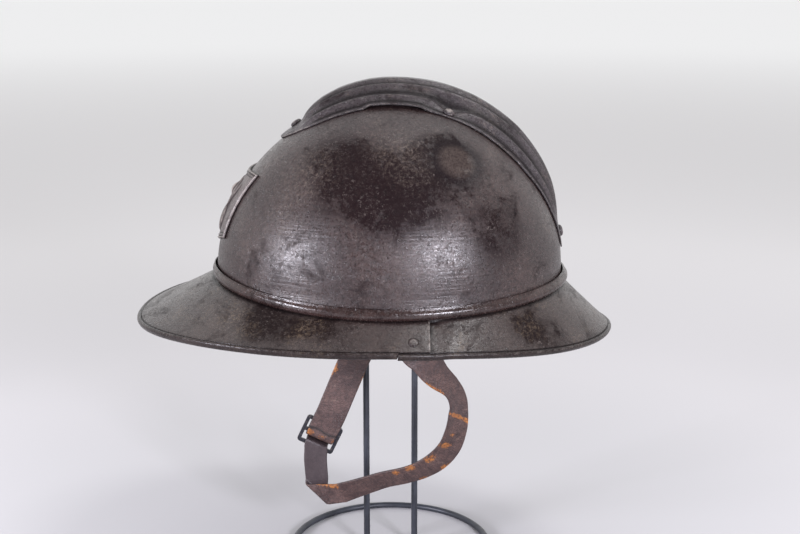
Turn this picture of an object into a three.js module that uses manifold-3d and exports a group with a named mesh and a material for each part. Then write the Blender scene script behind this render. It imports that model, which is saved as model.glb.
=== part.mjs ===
// A pressed steel helmet of the First World War with its leather chin strap,
// on the plain wire stand that displays it. Lengths are millimetres, +Z is up,
// -Y is the front and +X is the wearer's left. The origin lies on the ground,
// under the middle of the helmet's length.
import * as THREE from 'three';
import Module from 'manifold-3d';
import { mergeVertices } from 'three/addons/utils/BufferGeometryUtils.js';

const wasm = await Module();
wasm.setup();

// Dome
const domeHalfWidth = 91.5;
const domeFrontReach = 107.5;
const domeRearReach = 106.5;
const domeHeight = 103.5;
const widestLineHeight = 190;
const frontFullness = 1.9;
const dish = 2;
const plate = 0.9;
const footFlare = 1.2;
const ventSlotLength = 44;
const ventSlotWidth = 12;

// Joint band round the foot of the dome
const bandFrontHeight = 190;
const bandSideHeight = 181;
const bandRearHeight = 186;
const bandTall = 7;
const bandFrontProud = 1.7;
const bandSideProud = 2;
const bandRearProud = 2.9;

// Brim
const rimHalfWidth = 112;
const rimFrontReach = 148.6;
const rimRearReach = 145.8;
const rimForward = 7.8;
const rimFrontSquareness = 2.2;
const rimRearSquareness = 1.86;
const rimFrontHeight = 158.8;
const rimSideHeight = 161.1;
const rimRearHeight = 149.7;
const rimFrontSwell = 1.9;
const rimRearSwell = -2.5;
const brimSag = 0.5;
const rollTall = 4.4;
const rollDeep = 3.2;
const lapRearEdge = 22.8;
const lapFrontEdge = 4.5;
const lapEase = 14;
const lapMargin = 2;

// Crest
const crestHeight = 13;
const crestHalfWidth = 24;
const crestFrontAngle = -38;
const crestRearAngle = 83;
const ventLift = 3.2;
const ventFrontAngle = -9;
const ventRearAngle = 14;
const ribDepth = 1.5;

// Rivets
const rivetRadius = 3.6;
const rivetTall = 2;

// Badge
const badgeHalfWidth = 31;
const badgeTopAngle = -54.8;
const badgeTopCornerAngle = -52;
const badgeCornerAngle = -77.4;
const badgePointAngle = -81.2;
const badgePlate = 0.9;
const borderWide = 2.6;
const borderTall = 0.7;
const ballRadius = 9.5;
const ballProud = 2.3;
const flameLength = 28;
const flameProud = 1.4;
const bulgeRise = 18.5;
const bulgeTall = 4.6;
const bulgeWide = 7;
const bulgeProud = 2.8;

// Strap lugs, leather and buckle
const lugWide = 27;
const lugPlate = 2;
const lugTall = 27;
const lugBar = 2.5;
const lugSlot = 5.5;
const lugAft = 12;
const leather = 1.6;
const strapWidthAtLug = 17.6;
const chinStrapWidth = 14.8;
const upperStrapWidth = 19.2;
const tongueWidth = 17.2;
const lugTail = 16;
const foldRadius = 2.1;
const buckleHalfWidth = 12.3;
const buckleHalfTall = 9.35;
const buckleBar = 2.2;
const bucklePlate = 2;
const buckleCorner = 2;

// Stand
const wire = 4;
const ringRadius = 63.5;
const postSpacing = 31;
const hoopAngle = 27;

// Clearance between pieces that touch, and the room that flat facets take inside the dome
const seat = 0.3;
const facetRoom = 0.95;

// Steps of the faceted solids
const aroundSteps = 48;
const domeRows = 10;
const crestSteps = 22;
const badgeRows = 19;
const badgeColumns = 16;

const degrees = Math.PI / 180;
const vec = (x, y, z) => new THREE.Vector3(x, y, z);
const mix = THREE.MathUtils.lerp;
const smooth = THREE.MathUtils.smoothstep;
const axisZ = vec(0, 0, 1);

// A closed body from grids of points; each grid is a list of rows of equal length.
function bodyFromGrids(grids) {
  const positions = [];
  const addTriangle = (a, b, c) => {
    const area = b.clone().sub(a).cross(c.clone().sub(a)).length();
    if (area > 1e-7) positions.push(...a.toArray(), ...b.toArray(), ...c.toArray());
  };
  for (const rows of grids) {
    for (let i = 0; i + 1 < rows.length; i += 1) {
      for (let j = 0; j + 1 < rows[i].length; j += 1) {
        addTriangle(rows[i][j], rows[i + 1][j], rows[i + 1][j + 1]);
        addTriangle(rows[i][j], rows[i + 1][j + 1], rows[i][j + 1]);
      }
    }
  }
  return closedGeometry(positions);
}

// Triangles as one indexed geometry whose faces point out.
function closedGeometry(positions) {
  const loose = new THREE.BufferGeometry();
  loose.setAttribute('position', new THREE.Float32BufferAttribute(positions, 3));
  const geometry = mergeVertices(loose, 1e-3);
  if (signedVolume(geometry) < 0) geometry.index.array.reverse();
  geometry.computeVertexNormals();
  return geometry;
}

function signedVolume(geometry) {
  const place = geometry.getAttribute('position');
  const index = geometry.index;
  const corners = [vec(0, 0, 0), vec(0, 0, 0), vec(0, 0, 0)];
  let volume = 0;
  for (let i = 0; i < index.count; i += 3) {
    corners.forEach((corner, k) => corner.fromBufferAttribute(place, index.getX(i + k)));
    volume += corners[0].dot(corners[1].clone().cross(corners[2])) / 6;
  }
  return volume;
}

// A slab between a top grid and a bottom grid of the same shape, with its four edges closed.
function slab(top, bottom) {
  const last = top.length - 1;
  const column = (grid, j) => grid.map((row) => row[j]);
  const end = top[0].length - 1;
  const flipped = bottom.map((row) => [...row].reverse());
  return bodyFromGrids([
    top,
    flipped,
    [bottom[0], top[0]],
    [top[last], bottom[last]],
    [column(top, 0), column(bottom, 0)],
    [column(bottom, end), column(top, end)],
  ]);
}

// A body through closed section loops; a ring joins its last section to its first, and any
// other body is capped by strips from each loop's first half to its second.
function loft(sections, isRing) {
  const rows = isRing ? [...sections, sections[0]] : sections;
  const closed = rows.map((loop) => [...loop, loop[0]]);
  const positions = [];
  const addTriangle = (a, b, c) => positions.push(...a.toArray(), ...b.toArray(), ...c.toArray());
  for (let i = 0; i + 1 < closed.length; i += 1) {
    for (let j = 0; j + 1 < closed[i].length; j += 1) {
      addTriangle(closed[i][j], closed[i + 1][j + 1], closed[i + 1][j]);
      addTriangle(closed[i][j], closed[i][j + 1], closed[i + 1][j + 1]);
    }
  }
  if (!isRing) {
    const last = sections[sections.length - 1];
    const first = sections[0];
    const count = first.length;
    for (let a = 0; a + 1 < count - 1 - a; a += 1) {
      const d = count - 1 - a;
      addTriangle(first[a], first[d], first[a + 1]);
      addTriangle(last[a], last[a + 1], last[d]);
      if (a + 1 < d - 1) {
        addTriangle(first[a + 1], first[d], first[d - 1]);
        addTriangle(last[a + 1], last[d - 1], last[d]);
      }
    }
  }
  return closedGeometry(positions);
}

function toSolid(geometry) {
  const bare = geometry.clone();
  bare.deleteAttribute('normal');
  bare.deleteAttribute('uv');
  const merged = mergeVertices(bare, 1e-3);
  const vertProperties = Float32Array.from(merged.getAttribute('position').array);
  const triVerts = Uint32Array.from(merged.index.array);
  return new wasm.Manifold(new wasm.Mesh({ numProp: 3, vertProperties, triVerts }));
}

function fromSolid(solid) {
  const { vertProperties, triVerts } = solid.getMesh();
  const geometry = new THREE.BufferGeometry();
  geometry.setAttribute('position', new THREE.Float32BufferAttribute(vertProperties, 3));
  geometry.setIndex([...triVerts]);
  geometry.computeVertexNormals();
  return geometry;
}

// Plan of an oval round the dome's middle: bearing 0 is the front, 90 degrees the left side.
function oval(bearing, halfWidth, frontReach, rearReach, height) {
  const reach = Math.cos(bearing) > 0 ? frontReach : rearReach;
  return vec(halfWidth * Math.sin(bearing), -reach * Math.cos(bearing), height);
}

// Value that goes from its front one through its side one to its rear one round the helmet.
function roundValue(bearing, front, side, rear) {
  const lengthwise = Math.cos(bearing);
  return mix(side, lengthwise > 0 ? front : rear, lengthwise * lengthwise);
}

// Exponent of the dome's side outline, a little flatter towards the front.
function fullness(bearing) {
  const forward = Math.max(0, Math.cos(bearing));
  return mix(dish, frontFullness, forward * forward);
}

// Point of the dome's outer face; rise is 0 at the crown and 90 degrees at the widest line.
function domePoint(bearing, rise) {
  const power = 2 / fullness(bearing);
  const out = Math.max(0, Math.sin(rise)) ** power;
  const up = Math.max(0, Math.cos(rise)) ** power;
  const point = oval(bearing, domeHalfWidth * out, domeFrontReach * out, domeRearReach * out, 0);
  point.z = widestLineHeight + domeHeight * up;
  return point;
}

// How far out a point is against the dome: below 1 inside it, above 1 outside.
function domeLevel(point) {
  const reach = point.y < 0 ? domeFrontReach : domeRearReach;
  const across = point.x / domeHalfWidth;
  const along = point.y / reach;
  const power = fullness(Math.atan2(across, -along));
  const flat = Math.hypot(across, along);
  const up = Math.max(0, point.z - widestLineHeight) / domeHeight;
  return flat ** power + up ** power;
}

// Point of the dome at a distance beside the middle plane, and an angle about the cross axis
// from straight up, negative towards the front.
function domeBeside(across, angle) {
  const ray = vec(0, Math.sin(angle * degrees), Math.cos(angle * degrees));
  const start = vec(across, 0, widestLineHeight);
  let near = 0;
  let far = 2 * domeFrontReach;
  for (let step = 0; step < 40; step += 1) {
    const middle = (near + far) / 2;
    if (domeLevel(start.clone().addScaledVector(ray, middle)) < 1) near = middle;
    else far = middle;
  }
  return start.addScaledVector(ray, near);
}

function domeNormal(across, angle) {
  const nudge = 0.5;
  const along = domeBeside(across, angle + nudge).sub(domeBeside(across, angle - nudge));
  const beside = domeBeside(across + nudge, angle).sub(domeBeside(across - nudge, angle));
  return beside.cross(along).normalize();
}

const footTurn = (bearing) => roundValue(bearing, bandFrontHeight, bandSideHeight, bandRearHeight);

// Outer face of the wall under the widest line, flaring down to the foot of the dome.
function wallPoint(bearing, height) {
  const foot = footTurn(bearing) - bandTall / 2;
  const share = THREE.MathUtils.clamp((widestLineHeight - height) / (widestLineHeight - foot), 0, 1);
  const grow = footFlare * share;
  const front = domeFrontReach + grow;
  return oval(bearing, domeHalfWidth + grow, front, domeRearReach + grow, height);
}

function planNormal(bearing) {
  const step = 0.01;
  const ahead = wallPoint(bearing + step, widestLineHeight);
  const behind = wallPoint(bearing - step, widestLineHeight);
  return ahead.sub(behind).cross(axisZ).normalize();
}

// The dome as one sheet, open below, with the slot that lets air out under the crest.
function skull() {
  const outer = [];
  const inner = [];
  for (let i = 0; i <= aroundSteps; i += 1) {
    const bearing = ((i % aroundSteps) / aroundSteps) * 2 * Math.PI;
    const out = planNormal(bearing);
    const foot = footTurn(bearing) - bandTall / 2;
    const face = [];
    const back = [];
    for (let j = 0; j <= domeRows; j += 1) {
      const rise = (j / domeRows) * 90 * degrees;
      const point = domePoint(bearing, rise);
      const slope = out.clone().multiplyScalar(Math.sin(rise)).addScaledVector(axisZ, Math.cos(rise));
      face.push(j === 0 ? vec(0, 0, widestLineHeight + domeHeight) : point);
      back.push(j === 0 ? vec(0, 0, face[0].z - plate) : point.clone().addScaledVector(slope, -plate));
    }
    const hem = wallPoint(bearing, foot);
    face.push(hem);
    back.push(hem.clone().addScaledVector(out, -plate));
    outer.push(face);
    inner.push(back.reverse());
  }
  const rim = outer.map((face, i) => [face[face.length - 1], inner[i][0]]);
  const shell = toSolid(bodyFromGrids([outer, rim, inner]));
  const slot = new THREE.CapsuleGeometry(ventSlotWidth / 2, ventSlotLength - ventSlotWidth, 3, 10);
  slot.translate(0, 0, widestLineHeight + domeHeight - plate);
  return fromSolid(shell.subtract(toSolid(slot)));
}

// Half-round bead that clasps the dome's foot, with a narrow step along its upper edge.
function jointBand() {
  const bandSection = [
    { out: 0, up: -0.5 },
    { out: 0.5, up: -0.5 },
    { out: 0.86, up: -0.32 },
    { out: 1, up: 0 },
    { out: 0.82, up: 0.3 },
    { out: 0.46, up: 0.42 },
    { out: 0.4, up: 0.5 },
    { out: 0, up: 0.5 },
  ];
  const sections = [];
  for (let i = 0; i < aroundSteps; i += 1) {
    const bearing = (i / aroundSteps) * 2 * Math.PI;
    const foot = footTurn(bearing) - bandTall / 2;
    const base = wallPoint(bearing, foot).setZ(footTurn(bearing));
    const out = planNormal(bearing);
    const proud = roundValue(bearing, bandFrontProud, bandSideProud, bandRearProud);
    sections.push(bandSection.map((corner) => base.clone()
      .addScaledVector(out, seat + proud * corner.out)
      .addScaledVector(axisZ, bandTall * corner.up)));
  }
  return loft(sections, true);
}

// Lower edge of the rim, an oval a little squarer in front and more pointed behind.
function rimEdge(bearing) {
  const across = Math.sin(bearing);
  const along = Math.cos(bearing);
  const power = 2 / (along > 0 ? rimFrontSquareness : rimRearSquareness);
  const reach = along > 0 ? rimFrontReach : rimRearReach;
  const swell = along > 0 ? rimFrontSwell : rimRearSwell;
  const height = roundValue(bearing, rimFrontHeight, rimSideHeight, rimRearHeight);
  return vec(
    Math.sign(across) * rimHalfWidth * Math.abs(across) ** power,
    -Math.sign(along) * reach * Math.abs(along) ** power - rimForward,
    height + 4 * swell * (along * across) ** 2,
  );
}

// Point of the brim's upper face; share is 0 under the band and 1 at the rim.
function brimPoint(bearing, share) {
  const foot = footTurn(bearing) - bandTall / 2;
  const inner = wallPoint(bearing, foot).addScaledVector(planNormal(bearing), 2 * seat);
  inner.z = foot - seat;
  const outer = rimEdge(bearing).addScaledVector(planNormal(bearing), rollDeep / 2);
  outer.z += rollTall / 2;
  const point = inner.lerp(outer, share);
  point.z -= brimSag * Math.sin(share * Math.PI);
  return point;
}

// Bearing at which the brim reaches a given place along the helmet, on the left side.
function bearingAt(along, share) {
  let low = 60 * degrees;
  let high = 140 * degrees;
  for (let step = 0; step < 30; step += 1) {
    const middle = (low + high) / 2;
    if (brimPoint(middle, share).y < along) low = middle;
    else high = middle;
  }
  return low;
}

function brimNormal(bearing, share) {
  const nudge = 0.02;
  const round = brimPoint(bearing + nudge, share).sub(brimPoint(bearing - nudge, share));
  const down = brimPoint(bearing, share + nudge).sub(brimPoint(bearing, share - nudge));
  return round.cross(down).normalize().multiplyScalar(-1);
}

// Section of a brim piece: a sheet that ends in a rolled edge, or in a bare edge on the lap.
function brimSection(rolled) {
  const lip = rolled ? 1 : 0;
  return [
    { share: 0, out: 0, up: 0 },
    { share: 0.35, out: 0, up: 0 },
    { share: 0.7, out: 0, up: 0 },
    { share: 1, out: -rollDeep, up: 0 },
    { share: 1, out: -rollDeep * mix(0.98, 0.85, lip), up: lip * rollTall * 0.12 },
    { share: 1, out: -rollDeep * mix(0.97, 0.35, lip), up: lip * rollTall * 0.16 },
    { share: 1, out: -rollDeep * mix(0.96, 0, lip), up: mix(-plate * 0.3, -rollTall * 0.25, lip) },
    { share: 1, out: -rollDeep * mix(0.97, 0.05, lip), up: mix(-plate * 0.6, -rollTall * 0.62, lip) },
    { share: 1, out: -rollDeep * mix(0.98, 0.5, lip), up: mix(-plate * 0.8, -rollTall * 0.84, lip) },
    { share: 1, out: -rollDeep, up: mix(-plate, -rollTall * 0.62, lip) },
    { share: 0.7, out: 0, up: -plate },
    { share: 0.35, out: 0, up: -plate },
    { share: 0, out: 0, up: -plate },
  ];
}

// Corner of a brim section in space; a lapped piece is sunk by a sheet's thickness under the lap.
function brimCorner(bearing, corner, isLapped) {
  const normal = brimNormal(bearing, corner.share);
  const point = brimPoint(bearing, corner.share);
  const clear = smooth(point.y, lapRearEdge + lapMargin, lapRearEdge + lapMargin + lapEase);
  const sunk = isLapped ? (plate + seat) * (1 - clear) : 0;
  const outward = point.clone().sub(brimPoint(bearing, corner.share - 0.1)).normalize();
  return point.addScaledVector(outward, corner.out).addScaledVector(normal, corner.up - sunk);
}

function brimPiece(steps, isLapped) {
  const sections = steps.map(({ rolled, turn }) => brimSection(rolled).map((corner) => {
    const bearing = turn(corner.share);
    return brimCorner(bearing, corner, isLapped);
  }));
  return loft(sections, false);
}

// Front brim: rolled edge up to the lap, then a bare tab on each side that lies on the neck guard.
function visor() {
  const tabEnd = (share) => bearingAt(lapRearEdge, share);
  const rollEnd = (share) => bearingAt(lapFrontEdge, share);
  const tabStart = (share) => bearingAt(lapFrontEdge + seat, share);
  const tabSteps = 4;
  const rollSteps = 34;
  const steps = [];
  for (let i = 0; i <= tabSteps; i += 1) {
    const left = i / tabSteps;
    steps.push({ rolled: false, turn: (share) => -mix(tabEnd(share), tabStart(share), left) });
  }
  for (let i = 0; i <= rollSteps; i += 1) {
    const side = (2 * i) / rollSteps - 1;
    steps.push({ rolled: true, turn: (share) => side * rollEnd(share) });
  }
  for (let i = 0; i <= tabSteps; i += 1) {
    const left = i / tabSteps;
    steps.push({ rolled: false, turn: (share) => mix(tabStart(share), tabEnd(share), left) });
  }
  return brimPiece(steps, false);
}

// Rear brim: starts under the visor's tabs, its rolled edge meets the visor's roll end to end.
function neckGuard() {
  const start = (share) => bearingAt(lapFrontEdge + 2 * seat, share);
  const rollSteps = 32;
  const steps = [];
  for (let i = 0; i <= rollSteps; i += 1) {
    const share = i / rollSteps;
    steps.push({ rolled: true, turn: (s) => mix(start(s), 2 * Math.PI - start(s), share) });
  }
  return brimPiece(steps, true);
}

// Crest outline along the helmet: angle about the cross axis, then shares of its height and half width.
const crestCourse = [
  { angle: crestFrontAngle - 1.5, tall: 0.14, wide: 0.22 },
  { angle: crestFrontAngle, tall: 0.15, wide: 0.42 },
  { angle: crestFrontAngle + 3.5, tall: 0.16, wide: 0.7 },
  { angle: crestFrontAngle + 7.5, tall: 0.18, wide: 0.85 },
  { angle: crestFrontAngle + 9, tall: 0.36, wide: 0.9 },
  { angle: crestFrontAngle + 12, tall: 0.54, wide: 0.96 },
  { angle: crestFrontAngle + 16, tall: 0.71, wide: 0.99 },
  { angle: crestFrontAngle + 23, tall: 0.88, wide: 1 },
  { angle: crestFrontAngle + 32, tall: 0.98, wide: 1 },
  { angle: 0, tall: 1, wide: 1 },
  { angle: 15, tall: 1.04, wide: 1 },
  { angle: 28, tall: 1.02, wide: 1.01 },
  { angle: crestRearAngle - 40, tall: 0.92, wide: 1.04 },
  { angle: crestRearAngle - 29, tall: 0.73, wide: 1 },
  { angle: crestRearAngle - 21, tall: 0.55, wide: 0.86 },
  { angle: crestRearAngle - 13, tall: 0.28, wide: 0.7 },
  { angle: crestRearAngle - 8.5, tall: 0.11, wide: 0.6 },
  { angle: crestRearAngle, tall: 0.1, wide: 0.4 },
];

// Cross section of the crest: share of the half width, share of the height, and how far each rib stands out.
const crestProfile = [
  { reach: 1, rise: 0, rib: 0 },
  { reach: 0.9, rise: 0.12, rib: 0 },
  { reach: 0.8, rise: 0.36, rib: 0.7 },
  { reach: 0.68, rise: 0.46, rib: -0.4 },
  { reach: 0.56, rise: 0.62, rib: -0.2 },
  { reach: 0.47, rise: 0.76, rib: 0.5 },
  { reach: 0.34, rise: 0.84, rib: -0.5 },
  { reach: 0.2, rise: 0.97, rib: 0.2 },
  { reach: 0, rise: 1, rib: 0 },
];

const sideRivetAngle = 20;
const sideRivetReach = 0.83;
const frontRivetAngle = crestFrontAngle + 5;
const rearRivetAngle = crestRearAngle - 4.5;

// Value of a table's column at a given key, on straight lines between its rows.
function lookUp(table, key, at, column) {
  let row = 0;
  while (row + 2 < table.length && (table[row + 1][key] - at) * (table[1][key] - table[0][key]) < 0) row += 1;
  const low = table[row];
  const high = table[row + 1];
  const share = THREE.MathUtils.clamp((at - low[key]) / (high[key] - low[key]), 0, 1);
  return mix(low[column], high[column], share);
}

// Point of the crest's upper face; beside runs from -1 at one edge to 1 at the other.
function crestPoint(beside, angle) {
  const tall = crestHeight * lookUp(crestCourse, 'angle', angle, 'tall');
  const wide = crestHalfWidth * lookUp(crestCourse, 'angle', angle, 'wide');
  const reach = Math.abs(beside);
  const edge = seat + plate;
  const relief = Math.min(1, Math.max(0, tall - edge) / (crestHeight / 2));
  const rivetSeat = Math.exp(-(((angle - sideRivetAngle) / 6) ** 6)) * smooth(reach, 0.5, 0.62);
  const rib = ribDepth * lookUp(crestProfile, 'reach', reach, 'rib') * relief;
  const rise = Math.max(0, tall - edge) * lookUp(crestProfile, 'reach', reach, 'rise') + rib;
  const opening = smooth(angle, ventFrontAngle, ventFrontAngle + 2);
  const closing = smooth(angle, ventRearAngle - 2, ventRearAngle);
  const vent = opening * (1 - closing);
  const lift = ventLift * vent * smooth(reach, 0.8, 0.95) + edge + rise * (1 - rivetSeat);
  return domeBeside(beside * wide, angle).addScaledVector(domeNormal(0, angle), lift);
}

function crest() {
  const sides = crestProfile.map((row) => row.reach);
  const columns = [...sides.map((reach) => -reach), ...sides.slice(0, -1).reverse()];
  const marks = new Set(crestCourse.map((row) => row.angle));
  const stride = (crestRearAngle - crestFrontAngle) / crestSteps;
  for (let angle = crestFrontAngle + 14; angle < crestRearAngle - 30; angle += stride) {
    marks.add(angle);
  }
  for (const angle of [ventFrontAngle, ventFrontAngle + 2]) marks.add(angle);
  for (const angle of [ventRearAngle - 2, ventRearAngle]) marks.add(angle);
  for (const angle of [sideRivetAngle - 2.5, sideRivetAngle + 2.5]) marks.add(angle);
  const sorted = [...marks].sort((a, b) => a - b);
  const angles = sorted.filter((angle, i) => i === 0 || angle - sorted[i - 1] > 0.6);
  const top = [];
  const bottom = [];
  for (const angle of angles) {
    const row = columns.map((beside) => crestPoint(beside, angle));
    const sink = domeNormal(0, angle).multiplyScalar(-plate);
    top.push(row);
    bottom.push(row.map((point) => point.clone().add(sink)));
  }
  return slab(top, bottom);
}

// Height of the badge's raised pattern at a place on it, in millimetres from its middle line
// and up from the ball's middle: a round shell with flames above it that are full in their middle.
function grenade(across, up) {
  const fromBall = Math.hypot(across, up) / ballRadius;
  const ball = ballProud * Math.sqrt(Math.max(0, 1 - fromBall ** 2));
  const lean = Math.atan2(across, up + ballRadius * 0.4);
  const length = Math.hypot(across, up) / (ballRadius + flameLength * (0.8 + 0.2 * Math.cos(7 * lean)));
  const fan = 1 - smooth(Math.abs(lean), 0.5, 0.72);
  const tongues = 0.55 + 0.45 * Math.cos(9 * lean);
  const flames = up > 0 ? flameProud * fan * tongues * Math.sqrt(Math.max(0, 1 - length ** 4)) : 0;
  const bulge = bulgeProud * Math.exp(-(((up - bulgeRise) / bulgeTall) ** 2) - (across / bulgeWide) ** 2);
  return Math.max(ball, flames, bulge);
}

// Shield plate that follows the dome, with a raised border and the pattern above.
function badge() {
  const top = [];
  const bottom = [];
  const ballMiddle = 0.7;
  const tall = domeBeside(0, badgeTopAngle).distanceTo(domeBeside(0, badgePointAngle));
  for (let i = 0; i <= badgeRows; i += 1) {
    const down = i / badgeRows;
    const face = [];
    const back = [];
    for (let j = 0; j <= badgeColumns; j += 1) {
      const side = (2 * j) / badgeColumns - 1;
      const half = badgeHalfWidth * (1 - 0.03 * Math.sin(down * Math.PI) - 0.06 * down ** 3);
      const foot = mix(badgePointAngle, badgeCornerAngle, Math.abs(side) ** 1.2);
      const head = mix(badgeTopAngle, badgeTopCornerAngle, Math.abs(side) ** 1.5);
      const angle = mix(head, foot, down);
      const across = side * half;
      const edge = Math.min(half - Math.abs(across), down * tall, (1 - down) * tall);
      const border = borderTall * (1 - smooth(edge, borderWide * 0.6, borderWide));
      const relief = grenade(across, (ballMiddle - down) * tall);
      const normal = domeNormal(across, angle);
      const seated = domeBeside(across, angle).addScaledVector(normal, seat);
      back.push(seated);
      face.push(seated.clone().addScaledVector(normal, badgePlate + Math.max(border, relief)));
    }
    top.push(face);
    bottom.push(back);
  }
  return slab(top, bottom);
}

// Round-headed rivet whose flat underside lies on the plane through its origin, head along +Z.
function rivetHead() {
  const outline = [
    new THREE.Vector2(0, 0),
    new THREE.Vector2(rivetRadius, 0),
    new THREE.Vector2(rivetRadius * 0.9, rivetTall * 0.45),
    new THREE.Vector2(rivetRadius * 0.6, rivetTall * 0.85),
    new THREE.Vector2(0, rivetTall),
  ];
  return new THREE.LatheGeometry(outline, 12).rotateX(90 * degrees);
}

function surfaceFrame(pointAt, u, v, nudgeU, nudgeV) {
  const along = pointAt(u, v + nudgeV).sub(pointAt(u, v - nudgeV));
  const beside = pointAt(u + nudgeU, v).sub(pointAt(u - nudgeU, v));
  const normal = beside.cross(along).normalize();
  return { place: pointAt(u, v), normal };
}

// A rivet on a face, a seat's clearance above it, with its head along the face's outward normal.
function seatRivet(mesh, frame, outward) {
  const normal = frame.normal.dot(outward) < 0 ? frame.normal.clone().negate() : frame.normal;
  mesh.position.copy(frame.place).addScaledVector(normal, seat);
  mesh.quaternion.setFromUnitVectors(axisZ, normal);
  return mesh;
}

// Strap lugs hang inside the dome's side walls.
const footSideHeight = bandSideHeight - bandTall / 2;
const lugBottom = footSideHeight - 9;
const lugFar = (lugAft + lugWide / 2) / domeRearReach;
const lugAcross = domeHalfWidth * Math.sqrt(1 - lugFar ** 2) - plate - 2 * seat - lugPlate / 2 - 0.2;
const lugBarMiddle = vec(lugAcross, lugAft, lugBottom + lugBar / 2);

// Plain plate with a slot near its lower end, cut through along X.
function lugPlateShape() {
  const outline = new THREE.Shape();
  outline.moveTo(-lugWide / 2, 0);
  outline.lineTo(lugWide / 2, 0);
  outline.lineTo(lugWide / 2, lugTall * 0.75);
  outline.lineTo(lugWide * 0.3, lugTall);
  outline.lineTo(-lugWide * 0.3, lugTall);
  outline.lineTo(-lugWide / 2, lugTall * 0.75);
  const slotHalf = lugWide / 2 - lugBar;
  const slot = new THREE.Path();
  slot.moveTo(-slotHalf, lugBar);
  slot.lineTo(-slotHalf, lugBar + lugSlot);
  slot.lineTo(slotHalf, lugBar + lugSlot);
  slot.lineTo(slotHalf, lugBar);
  outline.holes.push(slot);
  const geometry = new THREE.ExtrudeGeometry(outline, { depth: lugPlate, bevelEnabled: false });
  geometry.translate(0, 0, -lugPlate / 2);
  geometry.rotateX(90 * degrees).rotateZ(90 * degrees);
  return geometry;
}

// One step of a strap: middle, vector to its edge, and the direction its marked face looks.
function strapStep(place, tangent, facing, half) {
  const lateral = tangent.clone().cross(facing).normalize();
  const normal = lateral.clone().cross(tangent).normalize();
  return { place, lateral: lateral.multiplyScalar(half), normal };
}

// Steps along a smooth curve through route points, each with its place, facing and half width.
function strapRoute(points, between) {
  const curve = new THREE.CatmullRomCurve3(points.map((point) => point.place), false, 'centripetal');
  const spans = points.length - 1;
  const steps = [];
  for (let i = 0; i <= spans * between; i += 1) {
    const row = Math.min(spans - 1, Math.floor(i / between));
    const share = i / between - row;
    const facing = points[row].facing.clone().lerp(points[row + 1].facing, share);
    const half = mix(points[row].half, points[row + 1].half, share);
    const at = i / (spans * between);
    steps.push(strapStep(curve.getPoint(at), curve.getTangent(at), facing, half));
  }
  return steps;
}

function strapSolid(steps) {
  const sections = steps.map(({ place, lateral, normal }) => {
    const thick = normal.clone().multiplyScalar(leather / 2);
    return [
      place.clone().add(lateral).add(thick),
      place.clone().sub(lateral).add(thick),
      place.clone().sub(lateral).sub(thick),
      place.clone().add(lateral).sub(thick),
    ];
  });
  return loft(sections, false);
}

// Turn of a strap over a lug's bar, from its loose tail inside to its body outside; side is +1 on the left.
function lugTurn(side, half) {
  const radius = Math.hypot(lugPlate, lugBar) / 2 + seat + leather / 2;
  const bar = lugBarMiddle.clone().multiply(vec(side, 1, 1));
  const at = (across, up) => bar.clone().add(vec(side * across * radius, 0, up));
  const turned = (turn) => vec(-side * Math.cos(turn), 0, Math.sin(turn));
  const points = [
    { place: at(-1, -lugTail), facing: turned(0), half },
    { place: at(-1, -lugTail / 2), facing: turned(0), half },
  ];
  for (let i = 0; i <= 4; i += 1) {
    const turn = (i / 4) * Math.PI;
    points.push({ place: bar.clone().addScaledVector(turned(turn), radius), facing: turned(turn), half });
  }
  return points;
}

// Space that the strap hangs in, from the lug's bar down to the fold and forward of the dome's middle.
const strapDrop = 128;
const strapSwing = 46;
const foldPlace = { across: 0.165, along: -0.962, down: 0.993 };
const foldApproach = vec(-0.15, -0.97, -0.19).normalize();
const foldLine = vec(-0.15, -0.73, 0.667).normalize();

const hangPoint = ({ across, along, down }) => vec(
  across * lugAcross,
  along * strapSwing,
  lugBarMiddle.z - down * strapDrop,
);

// Loose stretch from the left lug to the fold: shares of the lug's distance from the middle, of the
// swing and of the drop, then the way the marked face looks, and the half width as a share.
const chinCourse = [
  { across: 1.030, along: 0.270, down: 0.041, look: [1, 0, 0], wide: 1 },
  { across: 1.024, along: 0.313, down: 0.084, look: [0.98, 0.16, 0.1], wide: 1 },
  { across: 0.993, along: 0.450, down: 0.130, look: [0.93, 0.3, 0.18], wide: 1 },
  { across: 0.911, along: 0.621, down: 0.231, look: [0.84, 0.48, 0.24], wide: 0.98 },
  { across: 0.836, along: 0.788, down: 0.311, look: [0.7, 0.7, 0.12], wide: 0.93 },
  { across: 0.785, along: 0.868, down: 0.375, look: [0.72, 0.69, 0], wide: 0.88 },
  { across: 0.743, along: 0.882, down: 0.441, look: [0.82, 0.57, 0], wide: 0.86 },
  { across: 0.679, along: 0.863, down: 0.537, look: [0.92, 0.38, -0.08], wide: 0.85 },
  { across: 0.609, along: 0.783, down: 0.640, look: [0.97, 0.2, -0.1], wide: 0.84 },
  { across: 0.548, along: 0.636, down: 0.720, look: [0.97, 0.1, -0.2], wide: 0.84 },
  { across: 0.488, along: 0.434, down: 0.783, look: [0.92, 0.04, -0.38], wide: 0.84 },
  { across: 0.427, along: 0.210, down: 0.828, look: [0.88, 0, -0.46], wide: 0.84 },
  { across: 0.370, along: -0.084, down: 0.867, look: [0.88, 0, -0.46], wide: 0.84 },
  { across: 0.320, along: -0.289, down: 0.904, look: [0.9, 0, -0.4], wide: 0.84 },
  { across: 0.276, along: -0.486, down: 0.939, look: [0.93, -0.03, -0.33], wide: 0.84 },
  { across: 0.229, along: -0.683, down: 0.975, look: [0.97, -0.1, -0.18], wide: 0.84 },
];

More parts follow.
